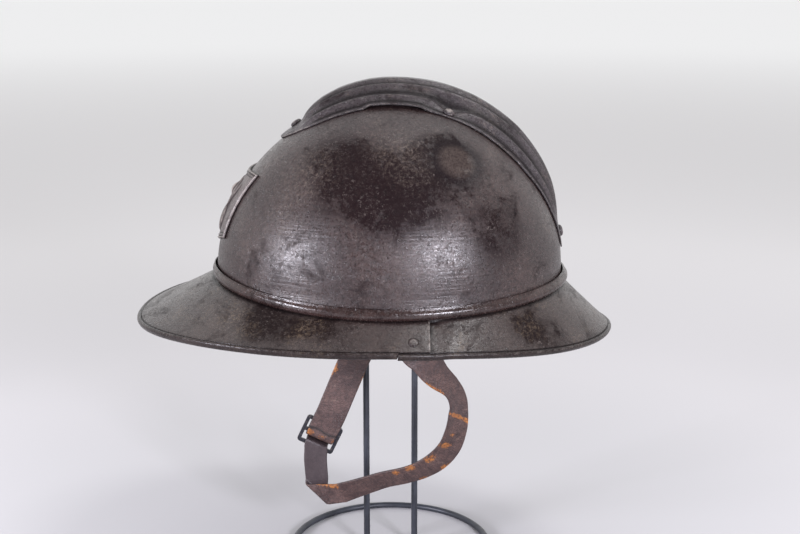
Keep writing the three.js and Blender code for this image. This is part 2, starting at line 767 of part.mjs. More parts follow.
// Buckle frame in space: its middle bar, the way along the strap, and the way out of its face.
const bucklePlace = hangPoint({ across: 0.103, along: -0.976, down: 0.697 });
const buckleUp = vec(0.02, 0.428, 0.903).normalize();
const buckleOut = vec(1, 0, 0).addScaledVector(buckleUp, -buckleUp.x).normalize();
const buckleAcross = buckleUp.clone().cross(buckleOut).normalize();
const strapBeside = 1.2;

const atBuckle = (up, out, across = 0) => bucklePlace.clone()
  .addScaledVector(buckleAcross, strapBeside + across)
  .addScaledVector(buckleUp, up)
  .addScaledVector(buckleOut, out);

// Flat frame with two openings either side of its middle bar.
function buckle() {
  const outline = new THREE.Shape();
  const corner = buckleCorner;
  const w = buckleHalfWidth;
  const h = buckleHalfTall;
  outline.moveTo(-w + corner, -h);
  outline.lineTo(w - corner, -h);
  outline.quadraticCurveTo(w, -h, w, -h + corner);
  outline.lineTo(w, h - corner);
  outline.quadraticCurveTo(w, h, w - corner, h);
  outline.lineTo(-w + corner, h);
  outline.quadraticCurveTo(-w, h, -w, h - corner);
  outline.lineTo(-w, -h + corner);
  outline.quadraticCurveTo(-w, -h, -w + corner, -h);
  for (const [low, high] of [[-h + buckleBar, -buckleBar / 2], [buckleBar / 2, h - buckleBar]]) {
    const hole = new THREE.Path();
    hole.moveTo(-w + buckleBar, low);
    hole.lineTo(-w + buckleBar, high);
    hole.lineTo(w - buckleBar, high);
    hole.lineTo(w - buckleBar, low);
    outline.holes.push(hole);
  }
  const geometry = new THREE.ExtrudeGeometry(outline, {
    depth: bucklePlate,
    bevelEnabled: false,
    curveSegments: 2,
  });
  return geometry.translate(0, 0, -bucklePlate / 2);
}

const barTurn = Math.hypot(buckleBar, bucklePlate) / 2 + seat + leather / 2;

// Turn of the narrow strap round the buckle's lower bar: how far up, out and across, in thicknesses of
// the leather, and how much the marked face looks back and down.
const wrapOut = 3.125;
const wrapCourse = [
  { up: -5, out: 1.69, across: 1.81, back: 1, dive: 0 },
  { up: -1.625, out: 1.5, across: 0.5, back: 1, dive: 0 },
  { up: 0.094, out: 1.406, across: 0, back: 1, dive: 0 },
  { up: 0.656, out: 1.094, across: 0, back: 1, dive: 1 },
  { up: 0.875, out: 0.375, across: 0, back: 0, dive: 1 },
  { up: 0.969, out: -0.625, across: 0, back: 0, dive: 1 },
  { up: 1.406, out: -1.8125, across: 0, back: 1, dive: 1 },
  { up: 2.469, out: -2.75, across: 0, back: 1, dive: 0 },
];

// The narrow strap: lug, loose stretch, sharp slanting fold, then up into the buckle.
function chinStrap() {
  const fullHalf = strapWidthAtLug / 2;
  const narrowHalf = chinStrapWidth / 2;
  const slack = chinCourse.map((row) => ({
    place: hangPoint(row),
    facing: vec(...row.look).normalize(),
    half: row.wide * fullHalf,
  }));
  const first = strapRoute([...lugTurn(1, fullHalf), ...slack], 2);

  const middle = hangPoint(foldPlace);
  const along = foldApproach.dot(foldLine);
  const outward = foldApproach.clone().addScaledVector(foldLine, -along).normalize();
  const across = Math.sqrt(1 - along ** 2);
  const leaving = foldLine.clone().multiplyScalar(2 * along).sub(foldApproach);
  const near = leaving.clone().cross(foldApproach).normalize();
  const fold = [];
  for (let i = 0; i <= 6; i += 1) {
    const turn = (i / 6) * Math.PI;
    const normal = near.clone().multiplyScalar(Math.cos(turn)).addScaledVector(outward, Math.sin(turn));
    const place = middle.clone()
      .addScaledVector(normal, foldRadius)
      .addScaledVector(foldLine, (foldRadius * turn * along) / across);
    fold.push({ place, lateral: foldLine.clone().multiplyScalar(narrowHalf / across), normal });
  }

  const back = buckleOut.clone().negate();
  const dive = buckleUp.clone().negate();
  const lower = -buckleHalfTall + buckleBar;
  const last = fold[fold.length - 1].place;
  const rising = [
    { place: last.clone().addScaledVector(leaving, narrowHalf * 1.22), facing: near.clone().negate() },
    { place: last.clone().addScaledVector(leaving, narrowHalf * 2.16), facing: near.clone().negate() },
    ...wrapCourse.map((row) => ({
      place: atBuckle(lower + row.up * leather, row.out * leather, row.across * leather),
      facing: back.clone().multiplyScalar(row.back).addScaledVector(dive, row.dive).normalize(),
    })),
    { place: atBuckle(0, -wrapOut * leather), facing: back },
    { place: atBuckle(buckleHalfTall, -wrapOut * leather), facing: back },
  ].map((point) => ({ ...point, half: narrowHalf }));
  return strapSolid([...first, ...fold, ...strapRoute(rising, 2)]);
}

// Hidden run of the wide strap from the right lug, between the posts, to where it shows under the brim.
const upperCourse = [
  { across: -1.025, along: 0.26, down: 0.06, look: [1, 0, 0.3] },
  { across: -0.94, along: 0.25, down: 0.1, look: [0.5, 0, 0.86] },
  { across: -0.7, along: 0.2, down: 0.11, look: [0, 0, 1] },
  { across: -0.4, along: 0.12, down: 0.105, look: [0, 0, 1] },
  { across: -0.12, along: 0.02, down: 0.1, look: [0.1, 0, 1] },
  { across: 0.03, along: -0.05, down: 0.115, look: [0.5, 0, 0.86] },
  { across: 0.1, along: -0.17, down: 0.15, look: [0.9, 0, 0.4] },
  { across: 0.122, along: -0.3, down: 0.2, look: [1, 0, 0.1] },
  { across: 0.125, along: -0.445, down: 0.27, look: [1, 0, 0] },
  { across: 0.126, along: -0.54, down: 0.346, look: [1, 0, 0] },
  { across: 0.127, along: -0.66, down: 0.45, look: [1, 0, 0] },
];

// The wide strap: lug, hidden run, down in front of the buckle's top bar and round its middle bar.
function upperStrap() {
  const half = upperStrapWidth / 2;
  const lugHalf = Math.min(half, lugWide / 2 - lugBar - seat);
  const turn = lugTurn(-1, lugHalf).map((point) => ({ ...point, facing: point.facing.clone().negate() }));
  const run = upperCourse.map((row) => ({
    place: hangPoint(row),
    facing: vec(...row.look).normalize(),
    half,
  }));
  const tongue = tongueWidth / 2;
  const end = [
    { place: atBuckle(buckleHalfTall + leather * 3.75, leather * 1.625), facing: buckleOut.clone(), half },
    { place: atBuckle(buckleHalfTall - leather * 0.625, leather * 1.625), facing: buckleOut.clone(), half },
    { place: atBuckle(buckleHalfTall / 2, barTurn), facing: buckleOut.clone(), half: mix(half, tongue, 0.5) },
  ];
  for (let i = 0; i <= 4; i += 1) {
    const around = (i / 4) * Math.PI;
    const facing = buckleOut.clone()
      .multiplyScalar(Math.cos(around))
      .addScaledVector(buckleUp, -Math.sin(around));
    end.push({
      place: atBuckle(0, 0).addScaledVector(facing, barTurn),
      facing,
      half: tongue,
    });
  }
  for (const up of [buckleHalfTall / 2, buckleHalfTall - leather * 0.625, buckleHalfTall + leather * 2.5]) {
    end.push({ place: atBuckle(up, -barTurn), facing: buckleOut.clone().negate(), half: tongue });
  }
  return strapSolid(strapRoute([...turn, ...run, ...end], 2));
}

// Section of a wire whose lowest side is flat, in the plane of the given outward direction and up.
function wireLoop(middle, out, sides) {
  const loop = [];
  const corner = wire / 2 / Math.cos(Math.PI / sides);
  for (let k = 0; k < sides; k += 1) {
    const turn = ((k + 0.5) / sides) * 2 * Math.PI;
    loop.push(middle.clone()
      .addScaledVector(out, corner * Math.sin(turn))
      .addScaledVector(axisZ, -corner * Math.cos(turn)));
  }
  return loop;
}

// Display stand: ring on the ground, bar across it, two posts, and a hoop under the crown.
function stand() {
  const ring = [];
  const hoop = [];
  const inset = plate + facetRoom + wire / 2;
  const hoopAt = (bearing) => {
    const point = domePoint(bearing, hoopAngle * degrees);
    const beside = domePoint(bearing + 0.01, hoopAngle * degrees).sub(point);
    const down = domePoint(bearing, (hoopAngle + 0.5) * degrees).sub(point);
    return point.addScaledVector(beside.cross(down).normalize(), inset);
  };
  const hoopHeight = hoopAt(Math.PI / 2).z;
  for (let i = 0; i < 40; i += 1) {
    const bearing = (i / 40) * 2 * Math.PI;
    const out = vec(Math.sin(bearing), -Math.cos(bearing), 0);
    ring.push(wireLoop(out.clone().multiplyScalar(ringRadius).setZ(wire / 2), out, 8));
  }
  for (let i = 0; i < 28; i += 1) {
    const bearing = (i / 28) * 2 * Math.PI;
    const out = planNormal(bearing);
    hoop.push(wireLoop(hoopAt(bearing).setZ(hoopHeight), out, 6));
  }
  const topReach = hoopAt(Math.PI).y;
  const rod = (from, to) => {
    const length = from.distanceTo(to);
    const shape = new THREE.CylinderGeometry(wire / 2, wire / 2, length, 8, 1);
    const turn = new THREE.Quaternion().setFromUnitVectors(vec(0, 1, 0), to.clone().sub(from).normalize());
    const middle = from.clone().lerp(to, 0.5);
    return toSolid(shape.applyQuaternion(turn).translate(...middle.toArray()));
  };
  let solid = toSolid(loft(ring, true)).add(toSolid(loft(hoop, true)));
  solid = solid.add(rod(vec(0, -ringRadius, wire / 2), vec(0, ringRadius, wire / 2)));
  solid = solid.add(rod(vec(0, hoopAt(0).y, hoopHeight), vec(0, topReach, hoopHeight)));
  for (const side of [-1, 1]) {
    const along = (side * postSpacing) / 2;
    solid = solid.add(rod(vec(0, along, wire / 2), vec(0, along, hoopHeight)));
  }
  return fromSolid(solid);
}

const steel = (color, roughness) => new THREE.MeshStandardMaterial({ color, roughness, metalness: 0.6 });
const domePaint = steel(0x58504f, 0.42);
const brimPaint = steel(0x524848, 0.45);
const crestPaint = steel(0x5c5660, 0.45);
const badgePaint = steel(0x766c6a, 0.5);
const rivetSteel = steel(0x6a6670, 0.4);
const darkSteel = steel(0x3a3a40, 0.5);
const blackWire = new THREE.MeshStandardMaterial({ color: 0x44464e, roughness: 0.5, metalness: 0.3 });
const brownLeather = new THREE.MeshStandardMaterial({ color: 0x6f5a56, roughness: 0.7, metalness: 0 });

function piece(name, geometry, material) {
  const mesh = new THREE.Mesh(geometry, material);
  mesh.name = name;
  return mesh;
}

const helmet = new THREE.Group();
helmet.add(piece('skull', skull(), domePaint));
helmet.add(piece('joint_band', jointBand(), domePaint));
helmet.add(piece('visor', visor(), brimPaint));
helmet.add(piece('neck_guard', neckGuard(), brimPaint));
helmet.add(piece('crest', crest(), crestPaint));
helmet.add(piece('badge', badge(), badgePaint));

const crestRivets = [
  { name: 'crest_rivet_front', beside: 0, angle: frontRivetAngle },
  { name: 'crest_rivet_rear', beside: 0, angle: rearRivetAngle },
  { name: 'crest_rivet_left', beside: sideRivetReach, angle: sideRivetAngle },
  { name: 'crest_rivet_right', beside: -sideRivetReach, angle: sideRivetAngle },
];
for (const { name, beside, angle } of crestRivets) {
  const frame = surfaceFrame(crestPoint, beside, angle, 0.04, 0.8);
  helmet.add(seatRivet(piece(name, rivetHead(), rivetSteel), frame, domeNormal(0, angle)));
}

const brimRivetShare = 0.6;
const brimRivetAlong = (lapFrontEdge + lapRearEdge) / 2;
for (const [name, side] of [['brim_rivet_left', 1], ['brim_rivet_right', -1]]) {
  const bearing = side * bearingAt(brimRivetAlong, brimRivetShare);
  const frame = surfaceFrame(brimPoint, bearing, brimRivetShare, 0.02, 0.02);
  helmet.add(seatRivet(piece(name, rivetHead(), rivetSteel), frame, axisZ));
}

for (const [name, side] of [['strap_lug_left', 1], ['strap_lug_right', -1]]) {
  const lug = piece(name, lugPlateShape(), darkSteel);
  lug.position.set(side * lugAcross, lugAft, lugBottom);
  helmet.add(lug);
}

helmet.add(piece('chin_strap', chinStrap(), brownLeather));
helmet.add(piece('upper_strap', upperStrap(), brownLeather));
const frame = piece('buckle', buckle(), darkSteel);
frame.position.copy(bucklePlace);
frame.quaternion.setFromRotationMatrix(new THREE.Matrix4().makeBasis(
  buckleUp.clone().cross(buckleOut),
  buckleUp,
  buckleOut,
));
helmet.add(frame);

const model = new THREE.Group();
model.add(helmet);
model.add(piece('stand', stand(), blackWire));
model.position.y = (rimFrontReach - rimRearReach) / 2 + rimForward;

export default model;
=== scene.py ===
"""Dresses a worn pressed steel helmet with its leather chin strap, on its plain wire display stand.

Shapes are worked out in millimetres about the middle of the dome and put into the frame in metres.
"""
import logging
from collections.abc import Callable, Sequence
from dataclasses import dataclass
from enum import Enum

import bmesh
import bpy
import numpy as np
from mathutils import Matrix, Vector


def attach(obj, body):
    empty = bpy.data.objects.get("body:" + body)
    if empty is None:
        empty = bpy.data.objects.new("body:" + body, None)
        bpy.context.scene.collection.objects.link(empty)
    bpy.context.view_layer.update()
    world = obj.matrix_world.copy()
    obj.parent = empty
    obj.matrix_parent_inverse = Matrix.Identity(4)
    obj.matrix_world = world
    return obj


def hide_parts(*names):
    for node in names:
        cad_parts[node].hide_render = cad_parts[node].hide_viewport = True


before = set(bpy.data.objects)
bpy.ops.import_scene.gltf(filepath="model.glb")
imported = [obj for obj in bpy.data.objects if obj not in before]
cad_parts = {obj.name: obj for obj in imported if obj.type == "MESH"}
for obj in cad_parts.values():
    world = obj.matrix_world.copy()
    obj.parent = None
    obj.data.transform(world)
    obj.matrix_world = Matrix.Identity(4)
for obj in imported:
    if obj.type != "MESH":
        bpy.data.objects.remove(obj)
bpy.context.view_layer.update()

log = logging.getLogger("helmet")

# Metres in a millimetre.
MM = 0.001
# How far behind the frame's origin the dome's middle lies, in millimetres.
DOME_MIDDLE_Y = 9.2
# Room left between pieces that rest on each other, in millimetres.
SEAT = 0.3
# Thickness of the steel sheet, in millimetres.
PLATE = 0.9
# Share of the outer face's wear and painted highlight that a sheet's back takes.
BACK_WEAR = 0.3


# Numbers and vectors

def vec(x: float, y: float, z: float) -> np.ndarray:
    """One point or direction."""
    return np.array([x, y, z], dtype=float)


def unit(v: np.ndarray) -> np.ndarray:
    """Vectors scaled to length one."""
    return v / np.maximum(np.linalg.norm(v, axis=-1, keepdims=True), 1e-12)


def ease(x: np.ndarray, low: float, high: float) -> np.ndarray:
    """Smooth step from 0 at low to 1 at high: 3 t squared minus 2 t cubed."""
    t = np.clip((x - low) / (high - low), 0.0, 1.0)
    return t * t * (3.0 - 2.0 * t)


def bump(x: np.ndarray, middle: float, width: float) -> np.ndarray:
    """Bell curve: e to the minus square of the distance from the middle over the width."""
    return np.exp(-((x - middle) / width) ** 2)


def round_value(bearing: np.ndarray, front: float, side: float, rear: float) -> np.ndarray:
    """Value that goes from front through side to rear with the squared cosine of the bearing.

    Args:
        bearing: angle from the front, in radians.
        front: value at the front.
        side: value at both sides.
        rear: value at the rear.

    Returns:
        The value at each bearing.
    """
    along = np.cos(bearing)
    end = np.where(along > 0, front, rear)
    return side + (end - side) * along ** 2


def soft_table(x: np.ndarray, keys: Sequence[float], values: Sequence[float], blur: float) -> np.ndarray:
    """Value from a table, straight between rows, with its corners rounded.

    Args:
        x: where the value is wanted.
        keys: rising keys of the rows.
        values: the rows' values.
        blur: half width over which seven samples are averaged with bell weights.

    Returns:
        The value at each x.
    """
    offsets = np.linspace(-1.0, 1.0, 7)
    weights = np.exp(-(offsets * 1.4) ** 2)
    total = sum(w * np.interp(x + o * blur, keys, values) for o, w in zip(offsets, weights))
    return total / weights.sum()


# Meshes

def put_mesh(name: str, points: np.ndarray, faces: list, sharp: float = 40.0, weld: bool = True,
             marks: dict[str, np.ndarray] | None = None) -> bpy.types.Object:
    """Makes an object from points in millimetres about the dome's middle.

    Args:
        name: the object's name.
        points: array of n by 3.
        faces: lists of point numbers.
        sharp: edges that turn by more than this many degrees stay crisp.
        weld: whether points that coincide become one.
        marks: values per point that the finish reads, such as wear and painted highlight.

    Returns:
        The linked object, at the origin, with its place in its mesh.
    """
    place = (np.asarray(points, dtype=float) + vec(0.0, DOME_MIDDLE_Y, 0.0)) * MM
    mesh = bpy.data.meshes.new(name)
    mesh.from_pydata(place.tolist(), [], faces)
    for key, values in (marks or {}).items():
        layer = mesh.attributes.new(key, "FLOAT", "POINT")
        layer.data.foreach_set("value", np.clip(values, 0.0, 1.0).astype(np.float32).ravel())
    build = bmesh.new()
    build.from_mesh(mesh)
    if weld:
        bmesh.ops.remove_doubles(build, verts=build.verts, dist=2e-6)
    bmesh.ops.recalc_face_normals(build, faces=build.faces)
    build.to_mesh(mesh)
    build.free()
    mesh.shade_smooth()
    mesh.set_sharp_from_angle(angle=np.radians(sharp))
    piece = bpy.data.objects.new(name, mesh)
    bpy.context.scene.collection.objects.link(piece)
    return piece


def grid_faces(rows: int, columns: int, wrap_rows: bool = False, wrap_columns: bool = False,
               start: int = 0) -> list:
    """Quads of a grid whose points are numbered row by row.

    Args:
        rows: number of rows.
        columns: number of columns.
        wrap_rows: whether the last row joins the first.
        wrap_columns: whether the last column joins the first.
        start: number of the first point.

    Returns:
        The quads, as lists of four point numbers.
    """
    i = np.arange(rows if wrap_rows else rows - 1)[:, None]
    j = np.arange(columns if wrap_columns else columns - 1)[None, :]
    below = (i + 1) % rows
    beside = (j + 1) % columns
    quads = np.stack([
        i * columns + j, i * columns + beside, below * columns + beside, below * columns + j,
    ], axis=-1) + start
    return quads.reshape(-1, 4).tolist()


def skin_body(name: str, front: np.ndarray, back: np.ndarray, sharp: float = 40.0,
              marks: dict[str, np.ndarray] | None = None) -> bpy.types.Object:
    """Closed sheet between a front and a back grid of the same shape, edges joined by strips.

    Args:
        name: the object's name.
        front: outer grid, rows by columns by 3.
        back: inner grid of the same shape.
        sharp: edges that turn by more than this many degrees stay crisp.
        marks: values per point of the front grid; the back takes a part of the wear and painted highlight,
            and full painted shade.

    Returns:
        The linked object.
    """
    rows, columns = front.shape[:2]
    points = np.concatenate([front.reshape(-1, 3), back.reshape(-1, 3)])
    count = rows * columns
    faces = grid_faces(rows, columns) + [f[::-1] for f in grid_faces(rows, columns, start=count)]
    ring = np.concatenate([
        np.arange(columns),
        np.arange(1, rows) * columns + columns - 1,
        (rows - 1) * columns + np.arange(columns - 2, -1, -1),
        np.arange(rows - 2, 0, -1) * columns,
    ])
    after = np.roll(ring, -1)
    faces += np.stack([ring, after, after + count, ring + count], axis=-1).tolist()
    both = {}
    for key, values in (marks or {}).items():
        before = values.ravel()
        # Painted shade: the back and the side walls get the full dark mark, so a sheet's foot goes dark
        # against the dome.
        behind = np.ones(count) if key == "grime_and_shade" else BACK_WEAR * np.maximum(before, 0.0)
        both[key] = np.concatenate([before, behind])
    return put_mesh(name, points, faces, sharp, marks=both)


def loft(sections: np.ndarray, ring: bool) -> tuple[np.ndarray, list]:
    """Points and faces of a body through closed section loops.

    Args:
        sections: array of sections by points by 3.
        ring: whether the last section joins the first; otherwise both ends are capped.

    Returns:
        The points as one list, and the faces.
    """
    count, loop = sections.shape[:2]
    faces = grid_faces(count, loop, wrap_rows=ring, wrap_columns=True)
    if not ring:
        faces.append(list(range(loop)))
        faces.append([(count - 1) * loop + k for k in reversed(range(loop))])
    return sections.reshape(-1, 3), faces


def join_bodies(bodies: list[tuple[np.ndarray, list]]) -> tuple[np.ndarray, list]:
    """Several bodies' points and faces as one list of each.

    Args:
        bodies: points and faces of each body.

    Returns:
        All points, and all faces renumbered.
    """
    points, faces, start = [], [], 0
    for place, quads in bodies:
        points.append(place)
        faces += [[k + start for k in f] for f in quads]
        start += len(place)
    return np.concatenate(points), faces


def tube(path: np.ndarray, radius: float, sides: int, closed: bool) -> tuple[np.ndarray, list]:
    """Round wire along a path: a circle carried square to the path, turned as little as possible.

    Args:
        path: points of the middle line.
        radius: the wire's radius.
        sides: points round the circle.
        closed: whether the wire is a hoop; an open wire's ends are domed.

    Returns:
        The wire's points and faces.
    """
    path = np.asarray(path, dtype=float)
    if closed:
        along = unit(np.roll(path, -1, axis=0) - np.roll(path, 1, axis=0))
    else:
        along = unit(np.gradient(path, axis=0))
    radii = np.full(len(path), radius)
    if not closed:
        turns = np.radians([90, 60, 30])
        head = path[0] - along[0] * radius * np.sin(turns)[:, None]
        tail = path[-1] + along[-1] * radius * np.sin(turns[::-1])[:, None]
        path = np.concatenate([head, path, tail])
        along = np.concatenate([np.repeat(along[:1], 3, 0), along, np.repeat(along[-1:], 3, 0)])
        radii = np.concatenate([radius * np.cos(turns) + 0.02, radii, radius * np.cos(turns[::-1]) + 0.02])
    start = np.eye(3)[np.argmin(np.abs(along[0]))]
    side = [unit(start - along[0] * (start @ along[0]))]
    for k in range(1, len(path)):
        step = side[-1] - along[k] * (side[-1] @ along[k])
        side.append(unit(step))
    side = np.array(side)
    other = np.cross(along, side)
    turn = np.linspace(0, 2 * np.pi, sides, endpoint=False)
    circle = np.cos(turn)[None, :, None] * side[:, None] + np.sin(turn)[None, :, None] * other[:, None]
    return loft(path[:, None] + circle * radii[:, None, None], closed)


# The helmet's shape

@dataclass(frozen=True)
class DomeForm:
    """Shape of the dome and of its foot, which every other piece sits on."""

    half_width: float = 91.5
    front_reach: float = 107.5
    rear_reach: float = 106.5
    height: float = 103.5
    widest: float = 190.0
    front_fullness: float = 1.9
    dish: float = 2.0
    flare: float = 1.2
    band_front: float = 190.0
    band_side: float = 181.0
    band_rear: float = 186.0
    band_tall: float = 7.0

    def oval(self, bearing: np.ndarray, width: np.ndarray, front: np.ndarray, rear: np.ndarray) -> np.ndarray:
        """Plan oval: x is the width times the sine, y the reach times the cosine, front negative.

        Args:
            bearing: angle from the front, in radians.
            width: half width.
            front: reach to the front.
            rear: reach to the rear.

        Returns:
            Points at height 0.
        """
        along = np.cos(bearing)
        y = -np.where(along > 0, front, rear) * along
        return np.stack(np.broadcast_arrays(width * np.sin(bearing), y, 0.0 * y), axis=-1)

    def fullness(self, bearing: np.ndarray) -> np.ndarray:
        """Exponent of the side outline, a little lower towards the front."""
        forward = np.maximum(0.0, np.cos(bearing))
        return self.dish + (self.front_fullness - self.dish) * forward ** 2

    def face(self, bearing: np.ndarray, rise: np.ndarray) -> np.ndarray:
        """Outer face: the oval shrinks with a power of the sine of the rise, height is that of the cosine.

        Args:
            bearing: angle from the front, in radians.
            rise: angle down from the top, in radians.

        Returns:
            Points of the face.
        """
        power = 2.0 / self.fullness(bearing)
        out = np.maximum(0.0, np.sin(rise)) ** power
        up = np.maximum(0.0, np.cos(rise)) ** power
        place = self.oval(bearing, self.half_width * out, self.front_reach * out, self.rear_reach * out)
        place[..., 2] = self.widest + self.height * up
        return place

    def level(self, place: np.ndarray) -> np.ndarray:
        """Sum of the powers of the plan distance and the height, which is 1 on the dome.

        Args:
            place: points to test.

        Returns:
            Below 1 inside the dome, above it outside.
        """
        reach = np.where(place[..., 1] < 0, self.front_reach, self.rear_reach)
        across = place[..., 0] / self.half_width
        along = place[..., 1] / reach
        power = self.fullness(np.arctan2(across, -along))
        up = np.maximum(0.0, place[..., 2] - self.widest) / self.height
        return np.hypot(across, along) ** power + up ** power

    def beside(self, across: np.ndarray, angle: np.ndarray) -> np.ndarray:
        """Where a ray from the cross axis meets the dome, halved in on forty times.

        Args:
            across: distance beside the middle plane.
            angle: degrees from straight up, negative towards the front.

        Returns:
            The points where the rays meet it.
        """
        across, angle = np.broadcast_arrays(np.asarray(across, float), np.radians(angle))
        ray = np.stack([0.0 * across, np.sin(angle), np.cos(angle)], axis=-1)
        start = np.stack([across, 0.0 * across, 0.0 * across + self.widest], axis=-1)
        near = np.zeros_like(across)
        far = near + 2.0 * self.front_reach
        for _ in range(40):
            middle = (near + far) / 2.0
            inside = self.level(start + ray * middle[..., None]) < 1.0
            near = np.where(inside, middle, near)
            far = np.where(inside, far, middle)
        return start + ray * near[..., None]

    def normal(self, across: np.ndarray, angle: np.ndarray) -> np.ndarray:
        """Outward direction at such a place, from two differences across and along.

        Args:
            across: distance beside the middle plane.
            angle: degrees from straight up, negative towards the front.

        Returns:
            Directions of length one.
        """
        nudge = 0.5
        across, angle = np.asarray(across), np.asarray(angle)
        along = self.beside(across, angle + nudge) - self.beside(across, angle - nudge)
        beside = self.beside(across + nudge, angle) - self.beside(across - nudge, angle)
        out = unit(np.cross(beside, along))
        outward = (out * (self.beside(across, angle) - vec(0, 0, self.widest))).sum(-1)
        return out * np.where(outward < 0, -1.0, 1.0)[..., None]

    def foot(self, bearing: np.ndarray) -> np.ndarray:
        """Height of the dome's lower edge."""
        return round_value(bearing, self.band_front, self.band_side, self.band_rear) - self.band_tall / 2.0

    def wall(self, bearing: np.ndarray, height: np.ndarray) -> np.ndarray:
        """Wall under the widest line: the oval grows evenly down to the foot.

        Args:
            bearing: angle from the front, in radians.
            height: height of each point.

        Returns:
            Points of the wall.
        """
        share = np.clip((self.widest - height) / (self.widest - self.foot(bearing)), 0.0, 1.0)
        grow = self.flare * share
        place = self.oval(bearing, self.half_width + grow, self.front_reach + grow, self.rear_reach + grow)
        place[..., 2] = height
        return place

    def plan_normal(self, bearing: np.ndarray) -> np.ndarray:
        """Level direction square to the oval.

        Args:
            bearing: angle from the front, in radians.

        Returns:
            Directions of length one.
        """
        step = 0.01
        ahead = self.oval(bearing + step, self.half_width, self.front_reach, self.rear_reach)
        behind = self.oval(bearing - step, self.half_width, self.front_reach, self.rear_reach)
        return unit(np.cross(ahead - behind, vec(0, 0, 1)))


@dataclass(frozen=True)
class BrimForm:
    """Shape of the sloping brim from under the band to its rolled edge."""

    dome: DomeForm
    half_width: float = 112.0
    front_reach: float = 148.6
    rear_reach: float = 145.8
    forward: float = 7.8
    front_squareness: float = 2.2
    rear_squareness: float = 1.86
    front_height: float = 158.8
    side_height: float = 161.1
    rear_height: float = 149.7
    front_swell: float = 1.9
    rear_swell: float = -2.5
    sag: float = 0.5
    roll_tall: float = 4.4
    roll_deep: float = 3.2

    def rim(self, bearing: np.ndarray) -> np.ndarray:
        """Lower edge of the rim: a superellipse whose height follows the squared cosine plus a swell.

        Args:
            bearing: angle from the front, in radians.

        Returns:
            Points of the edge.
        """
        across, along = np.sin(bearing), np.cos(bearing)
        power = 2.0 / np.where(along > 0, self.front_squareness, self.rear_squareness)
        reach = np.where(along > 0, self.front_reach, self.rear_reach)
        swell = np.where(along > 0, self.front_swell, self.rear_swell)
        height = round_value(bearing, self.front_height, self.side_height, self.rear_height)
        return np.stack([
            np.sign(across) * self.half_width * np.abs(across) ** power,
            -np.sign(along) * reach * np.abs(along) ** power - self.forward,
            height + 4.0 * swell * (along * across) ** 2,
        ], axis=-1)

    def face(self, bearing: np.ndarray, share: np.ndarray) -> np.ndarray:
        """Upper face: straight from the band at share 0 to the rim at share 1, less a slight sag.

        Args:
            bearing: angle from the front, in radians.
            share: 0 at the band, 1 at the rim.

        Returns:
            Points of the face.
        """
        bearing, share = np.broadcast_arrays(bearing, share)
        foot = self.dome.foot(bearing)
        inner = self.dome.wall(bearing, foot) - self.dome.plan_normal(bearing) * PLATE * 0.7
        inner[..., 2] = foot + 0.05
        outer = self.rim(bearing) + self.dome.plan_normal(bearing) * self.roll_deep / 2.0
        outer[..., 2] += self.roll_tall / 2.0
        place = inner + (outer - inner) * share[..., None]
        place[..., 2] -= self.sag * np.sin(share * np.pi)
        return place

    def normal(self, bearing: np.ndarray, share: np.ndarray) -> np.ndarray:
        """Upward direction square to the face.

        Args:
            bearing: angle from the front, in radians.
            share: 0 at the band, 1 at the rim.

        Returns:
            Directions of length one.
        """
        nudge = 0.02
        around = self.face(bearing + nudge, share) - self.face(bearing - nudge, share)
        down = self.face(bearing, share + nudge) - self.face(bearing, share - nudge)
        out = unit(np.cross(around, down))
        return out * np.where(out[..., 2] < 0, -1.0, 1.0)[..., None]

    def bearing_at(self, along: float, share: np.ndarray) -> np.ndarray:
        """Bearing on the left side where the face reaches a place along the helmet.

        Args:
            along: place along the helmet.
            share: 0 at the band, 1 at the rim.

        Returns:
            The bearing for each share.
        """
        low = np.full(np.shape(share), np.radians(60.0))
        high = np.full(np.shape(share), np.radians(140.0))
        for _ in range(30):
            middle = (low + high) / 2.0
            short = self.face(middle, share)[..., 1] < along
            low = np.where(short, middle, low)
            high = np.where(short, high, middle)
        return low


DOME = DomeForm()
BRIM = BrimForm(DOME)
LAP_REAR = 22.8
LAP_FRONT = 4.5
LAP_EASE = 14.0


# Colours and nodes

def linear(hex_value: str) -> tuple[float, float, float, float]:
    """An sRGB colour such as "#58504f" as linear red, green, blue and alpha.

    Args:
        hex_value: the colour, with its leading mark.

    Returns:
        Its four linear parts.
    """
    parts = [int(hex_value[k:k + 2], 16) / 255.0 for k in (1, 3, 5)]
    lin = [p / 12.92 if p <= 0.04045 else ((p + 0.055) / 1.055) ** 2.4 for p in parts]
    return (*lin, 1.0)


def per_metre(size_mm: float) -> float:
    """Scale of a noise texture whose features are about that many millimetres wide."""
    return 1000.0 / size_mm


